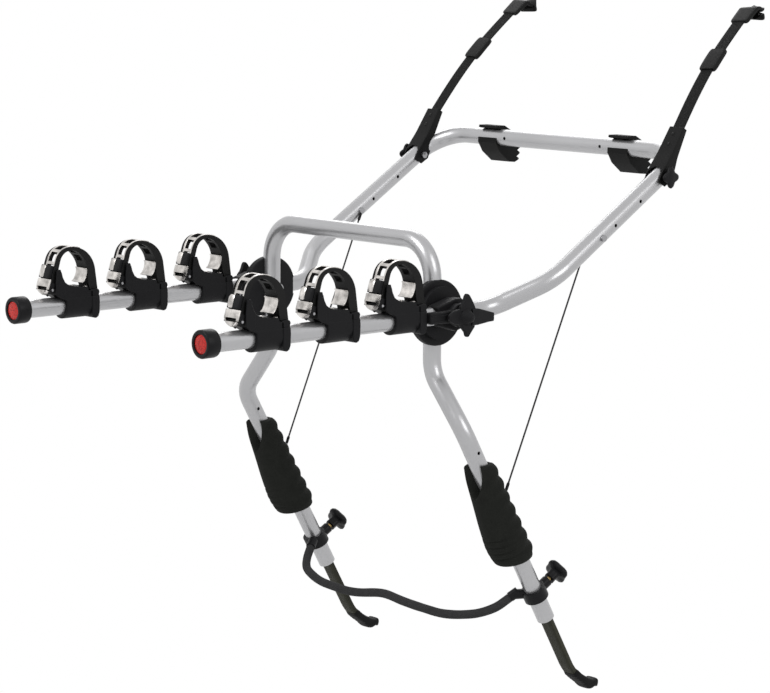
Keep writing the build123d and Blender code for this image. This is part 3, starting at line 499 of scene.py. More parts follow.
def closed_foam(name, colour):
    """Closed-cell foam: small open pores over soft lumps."""
    f = Finish(name, colour, 0.85, specular=0.08)
    pores = f.cells(750.0)
    lumps = f.noise(70.0, 4.0)
    return f.done(pores * 0.5 + lumps, 0.0005, 0.7, base_color=f.shades(lumps * 0.6 + pores * 0.5, 0.55, 1.6),
                  roughness=lumps * 0.12 + 0.78)


def strap_rubber(colour):
    """Moulded rubber with fine cross ribs that follow the strap."""
    f = Finish("cradle_rubber", colour, 0.5, specular=0.16)
    along = f.parts(f.coordinates(mapped=True))[0]
    cloud = f.noise(45.0, 3.0)
    return f.done(along.waves(0.003) * 0.5 + cloud, 0.00025, 0.6, base_color=f.shades(cloud, 0.7, 1.5),
                  roughness=cloud * 0.2 + 0.4)


def plain_rubber(name, colour, gloss):
    """Smooth rubber or coat with a faint grit."""
    f = Finish(name, colour, gloss, specular=0.12)
    cloud = f.noise(60.0, 4.0)
    return f.done(f.noise(700.0, 2.0), 0.0001, 0.6, base_color=f.shades(cloud, 0.7, 1.45),
                  roughness=cloud * 0.15 + (gloss - 0.07))


def bright_metal(colour, gloss):
    """Polished plate: brushed lines across, and a painted reflection of a room as dark and light clouds in
    its colour.
    """
    f = Finish("bright_plate", colour, gloss, metallic=1.0)
    lines = f.noise(160.0, 3.0, f.coordinates((1, 14, 14)))
    cloud = f.noise(75.0, 3.0)
    # Painted reflection: the stretched cloud darkens and lightens the base colour
    return f.done(lines, 0.00004, base_color=f.shades((cloud - 0.5) * 2.2 + 0.5, 0.45, 1.15),
                  roughness=lines * 0.12 + cloud * 0.08 + (gloss - 0.1))


def plated_steel(colour):
    """Plated bolts and pins with cloudy gloss."""
    f = Finish("plated_steel", colour, 0.32, metallic=0.95)
    cloud = f.noise(120.0, 4.0)
    return f.done(cloud, 0.00005, base_color=f.shades(cloud, 0.8, 1.15), roughness=cloud * 0.2 + 0.22)


def brass_metal(colour):
    """Brass with fine rings for its thread."""
    f = Finish("screw_brass", colour, 0.3, metallic=1.0)
    height = f.parts(f.coordinates())[2]
    return f.done(height.waves(0.0012), 0.00015, roughness=f.noise(200.0) * 0.2 + 0.2)


def woven_webbing(colour):
    """Flat webbing: ribs across the strap under fine yarns along it, on its own map."""
    f = Finish("strap_webbing", colour, 0.75, specular=0.1)
    along, across, _ = f.parts(f.coordinates(mapped=True))
    weft, warp = along.waves(0.0016), across.waves(0.0012)
    cloud = f.noise(90.0, 4.0)
    shade = f.shades(weft * warp * 0.3 + cloud, 0.6, 1.7)
    return f.done(weft * 0.6 + warp * 0.4, 0.0002, 0.8, base_color=shade, roughness=cloud * 0.2 + 0.62)


def ribbed_sleeve(colour):
    """Knitted sleeve over the hook bar: fine ribs along it with a slight olive cast."""
    f = Finish("hook_sleeve", colour, 0.6, specular=0.15)
    along, across, _ = f.parts(f.coordinates(mapped=True))
    ribs, stitch = across.waves(0.0016), along.waves(0.0021)
    cloud = f.noise(80.0, 4.0)
    return f.done(ribs + stitch * 0.4, 0.0002, 0.7, base_color=f.shades(ribs * 0.25 + cloud, 0.55, 1.8),
                  roughness=cloud * 0.2 + 0.45)


def cable_sheath(colour):
    """Clear-coated cable whose strands wind round it."""
    f = Finish("cable_sheath", colour, 0.35, specular=0.3)
    along, across, _ = f.parts(f.coordinates(mapped=True))
    strands = (along * 0.6 + across).waves(0.00157)
    return f.done(strands, 0.0002, 0.8, base_color=f.shades(strands * 0.5 + 0.5, 0.6, 1.9))


def red_reflector(colour):
    """Clear red disc over small prisms."""
    f = Finish("reflector_red", colour, 0.2, specular=0.3)
    prisms = f.cells(420.0, f.coordinates((1, 0, 1)))
    return f.done(prisms, 0.0005, 0.6, base_color=f.shades(prisms * 1.4, 1.25, 0.5),
                  roughness=prisms * 0.2 + 0.1)


_made = {}


def finish(key):
    """The named finish, made once from the scene's own colours."""
    looks = bpy.context.scene.rack_colours
    makers = {
        "tube": lambda: painted_tube(looks.tube, looks.tube_gloss),
        "plastic": lambda: grained_plastic("hub_plastic", looks.plastic, 0.55),
        "satin": lambda: grained_plastic("satin_plastic", looks.satin, 0.38, 1300.0, 0.00006),
        "saddle": lambda: grained_plastic("saddle_plastic", looks.satin, 0.48, 1000.0, 0.0001),
        "sleeve": lambda: closed_foam("sleeve_foam", looks.sleeve),
        "bar": lambda: closed_foam("bar_foam", looks.bar_foam),
        "strap": lambda: strap_rubber(looks.rubber),
        "rubber": lambda: plain_rubber("foot_rubber", looks.rubber, 0.6),
        "coat": lambda: plain_rubber("black_coat", looks.rubber, 0.42),
        "bright": lambda: bright_metal(looks.bright, 0.26),
        "steel": lambda: plated_steel(looks.steel),
        "brass": lambda: brass_metal(looks.brass),
        "webbing": lambda: woven_webbing(looks.webbing),
        "hook": lambda: ribbed_sleeve(looks.hook),
        "cable": lambda: cable_sheath(looks.cable),
        "red": lambda: red_reflector(looks.reflector),
    }
    if key not in _made:
        _made[key] = makers[key]()
    return _made[key]


# Sizes and colours
def colour_prop(name, description, default):
    return bpy.props.FloatVectorProperty(
        name=name, description=description, default=default, size=3, subtype="COLOR", min=0.0, max=1.0)


def length_prop(name, description, default):
    return bpy.props.FloatProperty(
        name=name, description=description, default=default, unit="LENGTH", min=0.0)


class RackColours(bpy.types.PropertyGroup):
    """Colours of the rack's finishes."""
    tube: colour_prop("Tube", "Silver coat of the frame tubes and arms", (0.47, 0.47, 0.48))
    tube_gloss: bpy.props.FloatProperty(
        name="Tube roughness", description="Roughness of the silver coat", default=0.3, subtype="FACTOR",
        min=0, max=1)
    plastic: colour_prop("Hub plastic", "Discs, sockets, clamps and wing knobs", (0.009, 0.009, 0.010))
    satin: colour_prop("Satin plastic", "Caps, collars and small knobs", (0.007, 0.007, 0.008))
    sleeve: colour_prop("Sleeve foam", "Foam sleeves on the legs", (0.017, 0.018, 0.016))
    bar_foam: colour_prop("Bumper foam", "Foam on the bumper bar", (0.040, 0.040, 0.041))
    rubber: colour_prop("Rubber", "Cradle straps, feet and hook ends", (0.006, 0.006, 0.006))
    bright: colour_prop("Bright metal", "Slotted bands, plates and levers", (0.72, 0.69, 0.66))
    steel: colour_prop("Plated steel", "Bolts and studs", (0.35, 0.35, 0.36))
    brass: colour_prop("Brass", "Screws of the collar knobs", (0.72, 0.50, 0.20))
    webbing: colour_prop("Webbing", "Straps of the lid hooks", (0.012, 0.012, 0.012))
    hook: colour_prop("Hook sleeve", "Ribbed sleeves of the lower hooks", (0.030, 0.030, 0.021))
    cable: colour_prop("Cable", "Sheath of the side cables", (0.012, 0.012, 0.013))
    reflector: colour_prop("Reflector", "Red discs in the arm ends", (0.80, 0.022, 0.014))


class RackSizes(bpy.types.PropertyGroup):
    """Sizes of the pieces that this script shapes."""
    sleeve_ridge: length_prop("Sleeve ridge", "Height of the ridges on the foam sleeves", 0.0016)
    sleeve_groove: length_prop("Sleeve groove", "Depth of the short grooves low on the foam sleeves", 0.0022)
    strap_width: length_prop("Strap width", "Width of the cradle straps", 0.030)
    band_width: length_prop("Band width", "Width of the bright slotted bands", 0.0272)
    band_thickness: length_prop("Band thickness", "Thickness of the bright slotted bands", 0.0014)
    webbing_width: length_prop("Webbing width", "Width of the lid straps", 0.025)
    cable_diameter: length_prop("Cable diameter", "Outer diameter of the side cables", 0.003)


def size(name):
    """One of the sizes, in millimetres."""
    return getattr(bpy.context.scene.rack_sizes, name) / MM


# Foam: places along the leg from the knee, and the sleeve's radius and shift toward the bikes at each
SLEEVE_TOP, SLEEVE_SLANT = 63.0, 13.0
SLEEVE_END, SLEEVE_END_DIP = 261.0, 6.0
NOTCH_DEPTH, NOTCH_HALF_ANGLE = 49.0, 1.08
SLEEVE_KNOTS = (52.0, 60.0, 86.0, 133.0, 182.0, 222.0, 246.0, 270.0)
SLEEVE_RADII = (24.0, 24.8, 27.2, 30.5, 34.0, 35.8, 34.0, 27.0)
SLEEVE_SHIFTS = (1.0, 1.0, 2.6, 6.0, 9.6, 11.0, 8.6, 4.0)
SLEEVE_BORE_R = TUBE_R + 0.35
TOP_ROUND, END_ROUND = 4.0, 11.0
RIDGE_START, RIDGE_PITCH = 60.0, 26.0
GROOVES, GROOVE_WIDTH = (194.0, 206.0, 218.0, 230.0), 2.0
BAR_FOAM_R, BAR_CORE_R = 7.5, 4.0
BAR_END, BAR_CORE_END = 8.5, 9.0
BAR_SAG, BAR_SAG_X, BAR_SAG_WIDTH = 6.0, -80.0, 55.0


def sleeve_rings():
    """Foam sleeve of the right leg on a grid of place along the leg and angle round it.  The radius is
    an eased profile, closed onto the tube by a quarter ellipse at each end, plus cosine ridges on the
    car's side and short bell-shaped grooves low on the bikes' side, where the upper edge has a notch."""
    turn = np.linspace(-math.pi, math.pi, 144, endpoint=False)
    away = np.abs(turn)
    notch = NOTCH_DEPTH * np.clip(1 - (away / NOTCH_HALF_ANGLE) ** 1.3, 0, 1) ** 0.85
    top = SLEEVE_TOP + SLEEVE_SLANT * np.clip((away - 1.2) / 1.94, 0, 1) + notch
    bottom = SLEEVE_END - SLEEVE_END_DIP * np.cos(turn)
    share = (1 - np.cos(np.linspace(0, math.pi, 150))) / 2
    along = top + (bottom - top) * share[:, None]
    radius = eased(along, SLEEVE_KNOTS, SLEEVE_RADII)
    shift = eased(along, SLEEVE_KNOTS, SLEEVE_SHIFTS)
    car_side = np.clip(-np.cos(turn) + 0.25, 0, 1)
    wave = np.cos(2 * math.pi * (along - RIDGE_START) / RIDGE_PITCH)
    radius = radius + size("sleeve_ridge") * car_side * wave
    bike_side = np.clip(np.cos(turn - 0.5), 0, 1) ** 1.5
    for middle in GROOVES:
        bell = np.exp(-(((along - middle) / GROOVE_WIDTH) ** 2))
        radius = radius - size("sleeve_groove") * bike_side * bell
    near_top = np.clip((along - top) / TOP_ROUND, 0, 1)
    near_end = np.clip((bottom - along) / END_ROUND, 0, 1)
    closed = np.sqrt(1 - (1 - near_top) ** 2) * np.sqrt(1 - (1 - near_end) ** 2)
    radius = SLEEVE_BORE_R + (radius - SLEEVE_BORE_R) * closed
    outer = leg_ring(along, radius, shift * closed, turn)
    back = top + (bottom - top) * np.linspace(1, 0, 12)[1:-1, None]
    return np.concatenate([outer, leg_ring(back, SLEEVE_BORE_R, 0.0, turn)])


def leg_ring(along, radius, shift, turn):
    """Points round the right leg: radius * sine across it, and radius * cosine plus the shift toward
    the bikes."""
    across = (radius * np.sin(turn))[..., None]
    out = (-radius * np.cos(turn) - shift)[..., None]
    return KNEE + along[..., None] * LEG_DIR + across * ACROSS + out * LEG_OUT


def bar_line():
    """Middle of the bumper foam: y and z are eased curves of the distance from the rack's middle plane,
    mirrored there, less a bell-shaped sag on the left half."""
    knots = distances(np.column_stack([BAR_X, BAR_Y, BAR_Z]))
    whole = np.concatenate([-knots[:0:-1], knots])
    s = np.linspace(whole[0], whole[-1], 199)
    halves = ((BAR_X, -1), (BAR_Y, 1), (BAR_Z, 1))
    values = [np.concatenate([sign * np.array(v[:0:-1]), v]) for v, sign in halves]
    line = np.column_stack([eased(s, whole, v) for v in values])
    line[:, 2] -= BAR_SAG * np.exp(-(((line[:, 0] - BAR_SAG_X) / BAR_SAG_WIDTH) ** 2))
    first, last = lengthened(line, BAR_END)
    return np.concatenate([first, line, last])


def lengthened(line, more):
    """The points that lie straight beyond a line's two ends."""
    return [(line[end] + unit(line[end] - line[near]) * more)[None] for end, near in ((0, 1), (-1, -2))]


class RACK_OT_foam(bpy.types.Operator):
    """Add the foam sleeves on the legs and the foam on the bumper bar"""
    bl_idname = "rack.foam"
    bl_label = "Foam"

    def execute(self, context):
        rings = sleeve_rings()
        for side, sign in SIDES:
            sleeve = skin(f"foam_sleeve_{side}", rings, sign, "sleeve", wrap=True, sharp=80.0)
            place(sleeve, "lower_frame", "sleeve_foam", "leg_foam_sleeves")
        line = bar_line()
        s = distances(line)
        inside = np.minimum(s, s[-1] - s)
        uneven = 0.12 * np.sin(s / 9.0) * np.sin(s / 23.0)
        radius = BAR_FOAM_R * np.sqrt(np.clip(inside / 3.0, 0.2, 1)) + uneven
        c, d = circle(40)
        rings = carried(line, LEG_OUT, radius[:, None] * c, radius[:, None] * d)
        foam = skin("bumper_foam", rings, 1, "bar", sharp=80.0)
        place(foam, "lower_frame", "bar_foam", "bumper_bar_foam")
        first, last = lengthened(line, BAR_CORE_END)
        rod = np.concatenate([first, line[::4], last])
        rings = carried(rod, LEG_OUT, BAR_CORE_R * c[::2], BAR_CORE_R * d[::2])
        core = skin("bumper_rod", rings, 1, "steel", sharp=80.0)
        place(core, "lower_frame", "steel_parts", "bumper_bar_core")
        return {"FINISHED"}


# Cradles: (y, z) pairs are counted from the cradle's middle, other places along the strap's line
CREST_BACK, CREST_FRONT = (-38.0, 94.0), (19.0, 94.0)
CREST_BENDS = (24.0, 42.0)
SLOPE_UP = unit([0.0, CREST_BACK[0] - LEVER_PIN[0], CREST_BACK[1] - LEVER_PIN[1]])
SLOPE_OUT = np.array([0.0, -SLOPE_UP[2], SLOPE_UP[1]])
WINDOWS = tuple(34.0 + 20.0 * k for k in range(5))
WINDOW_HALF = 7.5
STRAP_STEP = 3.0
STRAP_PLACES = (0.0, 30.0, 50.0, 75.0, 85.0, 95.0, 110.0, 140.0, 168.0, 176.0, 182.0)
INNER_LIFTS = (4.2, 3.6, 2.6, 1.9, 1.8, 3.4, 7.0, 11.0, 11.8, 10.5, 4.4)
RIM_LIFTS = (4.6, 6.4, 6.8, 4.6, 3.8, 3.8, 4.2, 4.6, 4.6, 4.6, 4.4)
RIM_WIDTH, RIM_STEP = 1.2, 0.3
FACE_LIFT, BAND_LIFT = 3.6, 4.4
BAND_START, BAND_END = 24.0, 100.0
SEAT = (
    (-30, 8), (-51.2, 20.5), (-46.5, 56), (-44.5, 59), (-42, 58.5), (-39.5, 49), (-35, 41), (-29, 36.6),
    (-21, 34.2), (-10, 32), (0, 30.8), (9, 30.6), (11.6, 29.6), (12, 24), (20.5, 23.8), (20.8, 12),
)
SEAT_FOOT = ((18, 14), (18, -18), (20, -22), (25, -23.5), (30, -21), (32.7, -14), (33.4, 4), (32.8, 14))
LUG = ((16, 12), (30, 14.2), (33.2, 17), (33.8, 21), (32, 24.6), (28, 25.6), (16, 25))
CHEEK = (
    (-44, 14), (-54.4, 22), (-54.4, 42), (-52, 61), (-49, 63.2), (-44.5, 62.8), (-41.5, 52), (-36, 41),
    (-36, 20),
)
SADDLE_BLOCKS = (
    ("seat", SEAT, -20.0, 20.0, 1.6),
    ("foot", SEAT_FOOT, -21.8, 21.8, 1.6),
    ("lug_a", LUG, -20.0, -15.6, 0.8),
    ("lug_b", LUG, 15.6, 20.0, 0.8),
    ("cheek_a", CHEEK, -20.6, -17.8, 0.8),
    ("cheek_b", CHEEK, 17.8, 20.6, 0.8),
)


def strap_line(centre):
    """Centre line of the strap over one cradle, from the lever pin to the front pin."""
    corners = [at_cradle(centre, point) for point in (LEVER_PIN, CREST_BACK, CREST_FRONT, FRONT_PIN)]
    return rounded_line(corners, CREST_BENDS)


def strap_grid(centre, start, stop, x, windows, window_half):
    """Grid over a stretch of the strap: place along it by place across it, the direction square to it,
    which cells stay once the windows are left out, and the places along it."""
    edges = [w + k * WINDOW_HALF for w in windows for k in (-1, 1)]
    steps = np.linspace(start, stop, int((stop - start) / STRAP_STEP))
    s = np.unique(np.round(np.concatenate([steps, edges]), 3))
    s = s[(s >= start) & (s <= stop)]
    points = at_distances(strap_line(centre), s)
    out = unit(np.cross(ACROSS, unit(np.gradient(points, axis=0))))
    middle_s, middle_x = (s[1:] + s[:-1]) / 2, (x[1:] + x[:-1]) / 2
    hole = (np.abs(middle_s[:, None] - np.asarray(windows)[None]) < WINDOW_HALF).any(1)
    kept = ~(hole[:, None] & (np.abs(middle_x) < window_half)[None])
    return points[:, None] + x[None, :, None] * ACROSS, out[:, None], kept, s


def cradle_strap(label, side, sign, centre):
    """Rubber strap: a shell between an inner and an outer curve, each lifted off the centre line by an
    eased height; its edges are raised as rims beside the bright band, and it has windows."""
    half = size("strap_width") / 2
    beside = np.array([half, half - RIM_WIDTH, half - RIM_WIDTH - RIM_STEP, 8.0, 4.0])
    x = np.concatenate([-beside, [0.0], beside[::-1]])
    total = distances(strap_line(centre))[-1]
    grid, out, kept, s = strap_grid(centre, 0.0, total, x, WINDOWS, 8.0)
    rim = eased(s, STRAP_PLACES, RIM_LIFTS)[:, None]
    on_rim = np.abs(x)[None] > half - RIM_WIDTH - RIM_STEP / 3
    lift = np.where(on_rim, rim, np.minimum(rim, FACE_LIFT))
    outer = grid + out * lift[..., None]
    inner = grid - out * eased(s, STRAP_PLACES, INNER_LIFTS)[:, None, None]
    strap, used = slotted(f"rubber_strap_{label}_{side}", outer, inner, kept, sign, "strap", 0.5)
    along, across = [np.tile(v.ravel(), 2)[used] for v in np.broadcast_arrays(s[:, None], x[None])]
    pattern_map(strap, along, across)
    place(strap, f"cradle_strap_{label}_{side}", "strap_rubber", f"cradle_strap_{label}_{side}")


def strap_barrels(label, side, sign, centre):
    """Round ends of the strap on its two pins."""
    body = f"cradle_strap_{label}_{side}"
    for name, point, radius in (("hinge", FRONT_PIN, 4.6), ("lever", LEVER_PIN, 4.8)):
        middle = at_cradle(centre, point)
        places = np.array([-15.0, -14.2, 14.2, 15.0])
        radii = radius - np.array([0.8, 0.0, 0.0, 0.8])
        rings = turned(middle, ACROSS, places, radii, 40)
        barrel = skin(f"strap_{name}_end_{label}_{side}", rings, sign, "strap")
        pattern_map(barrel, places[:, None], np.linspace(0, 25, 40)[None])
        place(barrel, body, "strap_rubber")
        rings = turned(middle, ACROSS, [-19.5, -18.9, 18.9, 19.5], [1.7, 2.3, 2.3, 1.7], 24)
        place(skin(f"strap_{name}_pin_{label}_{side}", rings, sign, "steel"), body, "bright_metal")


def bright_band(label, side, sign, centre):
    """Slotted band on the strap's crest and slope, between the rims."""
    half = size("band_width") / 2
    x = np.array([-half, -8.6, -4.0, 0.0, 4.0, 8.6, half])
    grid, out, kept, _ = strap_grid(centre, BAND_START, BAND_END, x, WINDOWS[:4], 8.4)
    band = plate(f"slotted_band_{label}_{side}", grid + out * BAND_LIFT, sign, "bright",
                 size("band_thickness"), 0.35, kept)
    place(band, f"cradle_strap_{label}_{side}", "bright_metal", f"cradle_ladder_{label}_{side}")


def inner_plate(label, side, sign, centre):
    """Bent bright plate inside the front run: it leans out as it rises, bowed by a sine, and a bell
    at each end draws its lips back."""
    v = np.linspace(0, 1, 21)
    x = np.linspace(-15.4, 15.4, 7)
    y = centre + 12.0 - 8.0 * (1 - v) + 2.4 * np.sin(math.pi * v)
    for end in (1, 0):
        y = y - 2.0 * np.exp(-(((v - end) / 0.07) ** 2))
    z = 37.0 + 23.5 * v
    grid = np.stack(np.broadcast_arrays(ARM_X + x[None], y[:, None], z[:, None]), -1)
    place(plate(f"inner_plate_{label}_{side}", grid, sign, "bright", 1.2, 0.3),
          f"cradle_strap_{label}_{side}", "bright_metal")


def slope_point(centre, along, lift, x):
    """Point at a place up the strap's slope from the lever pin, lifted outward from it."""
    along, lift, x = np.broadcast_arrays(along, lift, x)
    return (at_cradle(centre, LEVER_PIN) + np.multiply.outer(along, SLOPE_UP)
            + np.multiply.outer(lift, SLOPE_OUT) + np.multiply.outer(x, ACROSS))


def lever(label, side, sign, centre):
    """Bright lever between two ears: bowed across, its lower end round in plan and curled in, with one
    long slot."""
    body = f"cradle_buckle_{label}_{side}"
    v = np.array([-9.6, -9.3, -8.6, -7.4, -6.0, -4.4, -2.8, -1.4, 2.6, 5.0, 8.0, 11.0, 14.0, 15.6])
    u = np.linspace(-1, 1, 17)
    low = np.clip((5.0 - v) / 14.7, 0, 1)
    half = 17.8 * np.sqrt(np.clip(1 - low**2.6, 0.02, 1))
    lift = (10.6 - 6.0 * low**2)[:, None] - 3.0 * np.abs(u[None]) ** 2.5
    grid = slope_point(centre, v[:, None], lift, half[:, None] * u[None])
    middle_v, middle_u = (v[1:] + v[:-1]) / 2, (u[1:] + u[:-1]) / 2
    slot = ((middle_v > -2.8) & (middle_v < 2.6))[:, None] & (np.abs(middle_u) < 0.69)[None]
    place(plate(f"lever_{label}_{side}", grid, sign, "bright", 1.8, 0.5, ~slot), body, "bright_metal", body)
    v = np.linspace(-3.5, 12.0, 9)
    height = np.array([-3.4, 0.0, 4.0, 7.6])
    for name, x in (("a", -16.4), ("b", 16.4)):
        grid = slope_point(centre, v[:, None], height[None], x)
        place(plate(f"lever_ear_{name}_{label}_{side}", grid, sign, "saddle", 1.6, 0.5), body, "bright_metal")


def catch(label, side, sign, centre):
    """Catch above the lever, a soft black block whose ends narrow, with a bowed bright plate on one
    half of it.  Painted reflection: the black half stands for a chrome facet that reflects dark."""
    body = f"cradle_strap_{label}_{side}"
    share = np.linspace(0, 1, 14)
    line = at_cradle(centre, LEVER_PIN) + (17.0 + 21.5 * share)[:, None] * SLOPE_UP + SLOPE_OUT * 8.4
    a, b = soft_rectangle(28.0, 8.6, 6.0)
    swell = np.sqrt(1 - 0.35 * np.abs(2 * share - 1) ** 5)
    rings = carried(line, SLOPE_OUT, a, swell[:, None] * b)
    place(skin(f"catch_{label}_{side}", rings, sign, "saddle", sharp=40.0), body, "saddle_plastic")
    # Painted reflection: only the -X half gets the bright plate on both sides, and the black block shows as
    # the dark facet
    x = np.linspace(-13.6, 0.5, 9)
    v = np.linspace(17.6, 38.0, 9)
    lift = 13.6 - 0.03 * (x[None] + 5.0) ** 2 - 1.6 * np.abs((v[:, None] - 27.8) / 10.2) ** 4
    grid = slope_point(centre, v[:, None], lift, sign * x[None])
    place(plate(f"catch_plate_{label}_{side}", grid, sign, "bright", 1.0, 0.3), body, "bright_metal")


def saddle(label, side, sign, centre):
    """Moulded seat: a body round the arm, square above it and round below, and outlines carried along
    X for the seat with its horn, the foot, the lugs and the cheeks."""
    body = f"arm_{side}"
    y = np.array([-32.5, -32.0, -30.5, -10.0, 10.0, 31.0, 32.6, 33.2])
    shrink = np.array([0.97, 0.99, 1.0, 1.0, 1.0, 1.0, 0.99, 0.97])
    c, s = circle(72)
    x = 20.5 * np.sign(c) * np.abs(c) ** np.where(s > 0, 0.35, 0.95)
    z = np.where(s > 0, 19.0 * np.abs(s) ** 0.3, 21.5 * s)
    line = np.column_stack([np.full(len(y), ARM_X), centre + y, 0 * y])
    rings = line[:, None] + shrink[:, None, None] * np.stack([x, 0 * x, z], -1)[None]
    shell = skin(f"saddle_body_{label}_{side}", rings, sign, "saddle", sharp=50.0)
    place(shell, body, "saddle_plastic", f"cradle_saddles_{side}")
    for name, outline, x0, x1, bevel in SADDLE_BLOCKS:
        outline = np.array(outline, float) + np.array([centre, 0.0])
        block = prism(f"saddle_{name}_{label}_{side}", outline, ARM_X + x0, ARM_X + x1, sign, "saddle", bevel)
        place(block, body, "saddle_plastic")
    for name, point in (("a", (-20.0, 33.9)), ("b", (8.0, 30.5))):
        foot = at_cradle(centre, point, 14.5 * sign)
        rings = turned(foot, (0, 0, 1), [0, 1.0, 1.8, 2.2], [3.6, 3.6, 2.4, 0.4], 24)
        place(skin(f"saddle_rivet_{name}_{label}_{side}", rings, sign, "bright"), body, "bright_metal")


class RACK_OT_cradles(bpy.types.Operator):
    """Add the saddles, rubber straps, bright bands, plates and levers of the cradles"""
    bl_idname = "rack.cradles"
    bl_label = "Cradles"

    def execute(self, context):
        for side, sign in SIDES:
            for label in CRADLES:
                for make in (saddle, cradle_strap, strap_barrels, bright_band, inner_plate, lever, catch):
                    make(label, side, sign, CRADLE_Y[label])
        return {"FINISHED"}


# Lid straps
WEB_BOW, WEB_THICKNESS = 9.5, 2.4
SLIDER_START, SLIDER_END = 131.5, 180.5
BRACKET_TAIL, BRACKET_HEAD = -16.0, 92.0
ARCH_HALF, ARCH_SHIFT = 15.9, -5.0
HOOK_TURNS, HOOK_RUNS, HOOK_BENDS = (7, 70, 122), (37.3, 17.0, 13.0), (7.0, 6.0)


def web_line(start, stop, bow):
    """The lid strap's centre line: the straight line from pin to hook plus a small sine bow."""
    s = np.linspace(start, stop, 60)
    share = (s / WEB_LENGTH)[:, None]
    return WEB_START + s[:, None] * WEB_DIR + unit(WEB_OUT) * bow * np.sin(math.pi * share)


class RACK_OT_lid_straps(bpy.types.Operator):
    """Add the webbing, sliders, coated hooks and brackets of the lid straps"""
    bl_idname = "rack.lid_straps"
    bl_label = "Lid straps"

    def execute(self, context):
        for side, sign in SIDES:
            line = web_line(4.6, WEB_LENGTH + 3.0, WEB_BOW)
            a, b = soft_rectangle(size("webbing_width"), WEB_THICKNESS, 8.0)
            strap = skin(f"lid_webbing_{side}", carried(line, WEB_OUT, a, b), sign, "webbing", sharp=50.0)
            pattern_map(strap, distances(line)[:, None], a[None])
            place(strap, f"strap_bracket_{side}", "webbing", f"upper_strap_{side}")
            self.slider(side, sign)
            self.hook(side, sign)
            self.bracket(side, sign)
            tuple(reflected(WEB_DIR, sign))
            tuple(reflected(WEB_START * MM, sign))
            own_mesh(strap)
        return {"FINISHED"}

    def bracket(self, side, sign):
        """Pressed channel on a grid of place along it by place round its open section.  It narrows to
        its head, and the web between its cheeks is cut away in an arch where the side tube passes."""
        body = f"strap_bracket_{side}"
        v = np.concatenate([np.linspace(BRACKET_TAIL, 34.0, 26), np.linspace(38.0, BRACKET_HEAD, 14)])
        wide = np.interp(v, (BRACKET_TAIL, 20.0, BRACKET_HEAD), (16.8, 16.8, 14.4))
        deep = np.interp(v, (BRACKET_TAIL, 0.0, 40.0, BRACKET_HEAD), (13.0, 14.0, 8.0, 5.0))
        under = np.interp(v, (BRACKET_TAIL, 0.0, 16.0, 40.0, BRACKET_HEAD), (4.0, 13.5, 12.0, 7.5, 5.0))
        u = np.concatenate([np.linspace(0, 1, 6), 1 + np.linspace(0.1, 1.9, 12), np.linspace(3, 4, 6)])
        x = np.interp(u, (0, 1, 3, 4), (-1, -1, 1, 1))[None] * wide[:, None]
        rise = np.interp(u, (0, 1, 3, 4), (0, 1, 1, 0))[None]
        lift = rise * (deep + under)[:, None] - under[:, None]
        grid = PIVOT + v[:, None, None] * BRACKET_DIR + lift[..., None] * BRACKET_OUT + x[..., None] * ACROSS
        middle_v, middle_u = (v[1:] + v[:-1]) / 2, (u[1:] + u[:-1]) / 2
        beside = (middle_u - 2) * wide[0]
        arch = 1.08 * np.sqrt(np.clip(ARCH_HALF**2 - beside**2, 0, None)) + ARCH_SHIFT
        kept = ~((np.abs(beside) < ARCH_HALF)[None] & (middle_v[:, None] < arch[None]))
        place(plate(f"bracket_{side}", grid, sign, "coat", 2.2, 0.5, kept), body, "bracket_coat", body)
        for name, along in (("a", 58.0), ("b", 78.0)):
            base = PIVOT + BRACKET_DIR * along + BRACKET_OUT * float(np.interp(along, v, deep))
            rings = turned(base, BRACKET_OUT, [-1.0, 1.0, 2.0, 2.6], [4.0, 4.0, 2.8, 0.5], 24)
            place(skin(f"bracket_rivet_{name}_{side}", rings, sign, "coat"), body, "bracket_coat")

    def slider(self, side, sign):
        """Soft block round the webbing whose ends are pulled in."""
        line = web_line(SLIDER_START, SLIDER_END, WEB_BOW + 0.2)[::3]
        s = np.linspace(0, 1, len(line))
        grow = 1 - 0.12 * np.abs(2 * s - 1) ** 6
        a, b = soft_rectangle(35.5, 8.6, 7.0)
        rings = carried(line, WEB_OUT, grow[:, None] * a, (0.75 + 0.25 * grow)[:, None] * b)
        block = skin(f"webbing_slider_{side}", rings, sign, "coat", sharp=50.0)
        place(block, f"strap_bracket_{side}", "bracket_coat", f"strap_slider_{side}")

    def hook(self, side, sign):
        """Flat coated hook: a soft rectangle carried along its bent line, narrowed at both ends."""
        slope = math.atan2(WEB_DIR[2], math.hypot(WEB_DIR[0], WEB_DIR[1]))
        corners = [WEB_END - WEB_DIR * 5.0]
        for degrees, length in zip(HOOK_TURNS, HOOK_RUNS):
            t = slope - math.radians(degrees)
            way = np.array([WEB_DIR[0] * math.cos(t), math.cos(t), math.sin(t)])
            corners.append(corners[-1] + unit(way) * length)
        line = spread(rounded_line(corners, HOOK_BENDS, 0.8), 1.2)
        s = distances(line) / distances(line)[-1]
        width = np.interp(s, (0, 0.05, 0.5, 0.95, 1), (0.88, 0.95, 1, 1, 0.92))[:, None]
        a, b = soft_rectangle(40.0, 7.4, 6.0)
        rings = carried(line, WEB_OUT, width * a, width * b)
        coated = skin(f"lid_hook_{side}", rings, sign, "coat", sharp=50.0)
        place(coated, f"upper_hook_{side}", "pad_rubber", f"upper_hook_{side}")


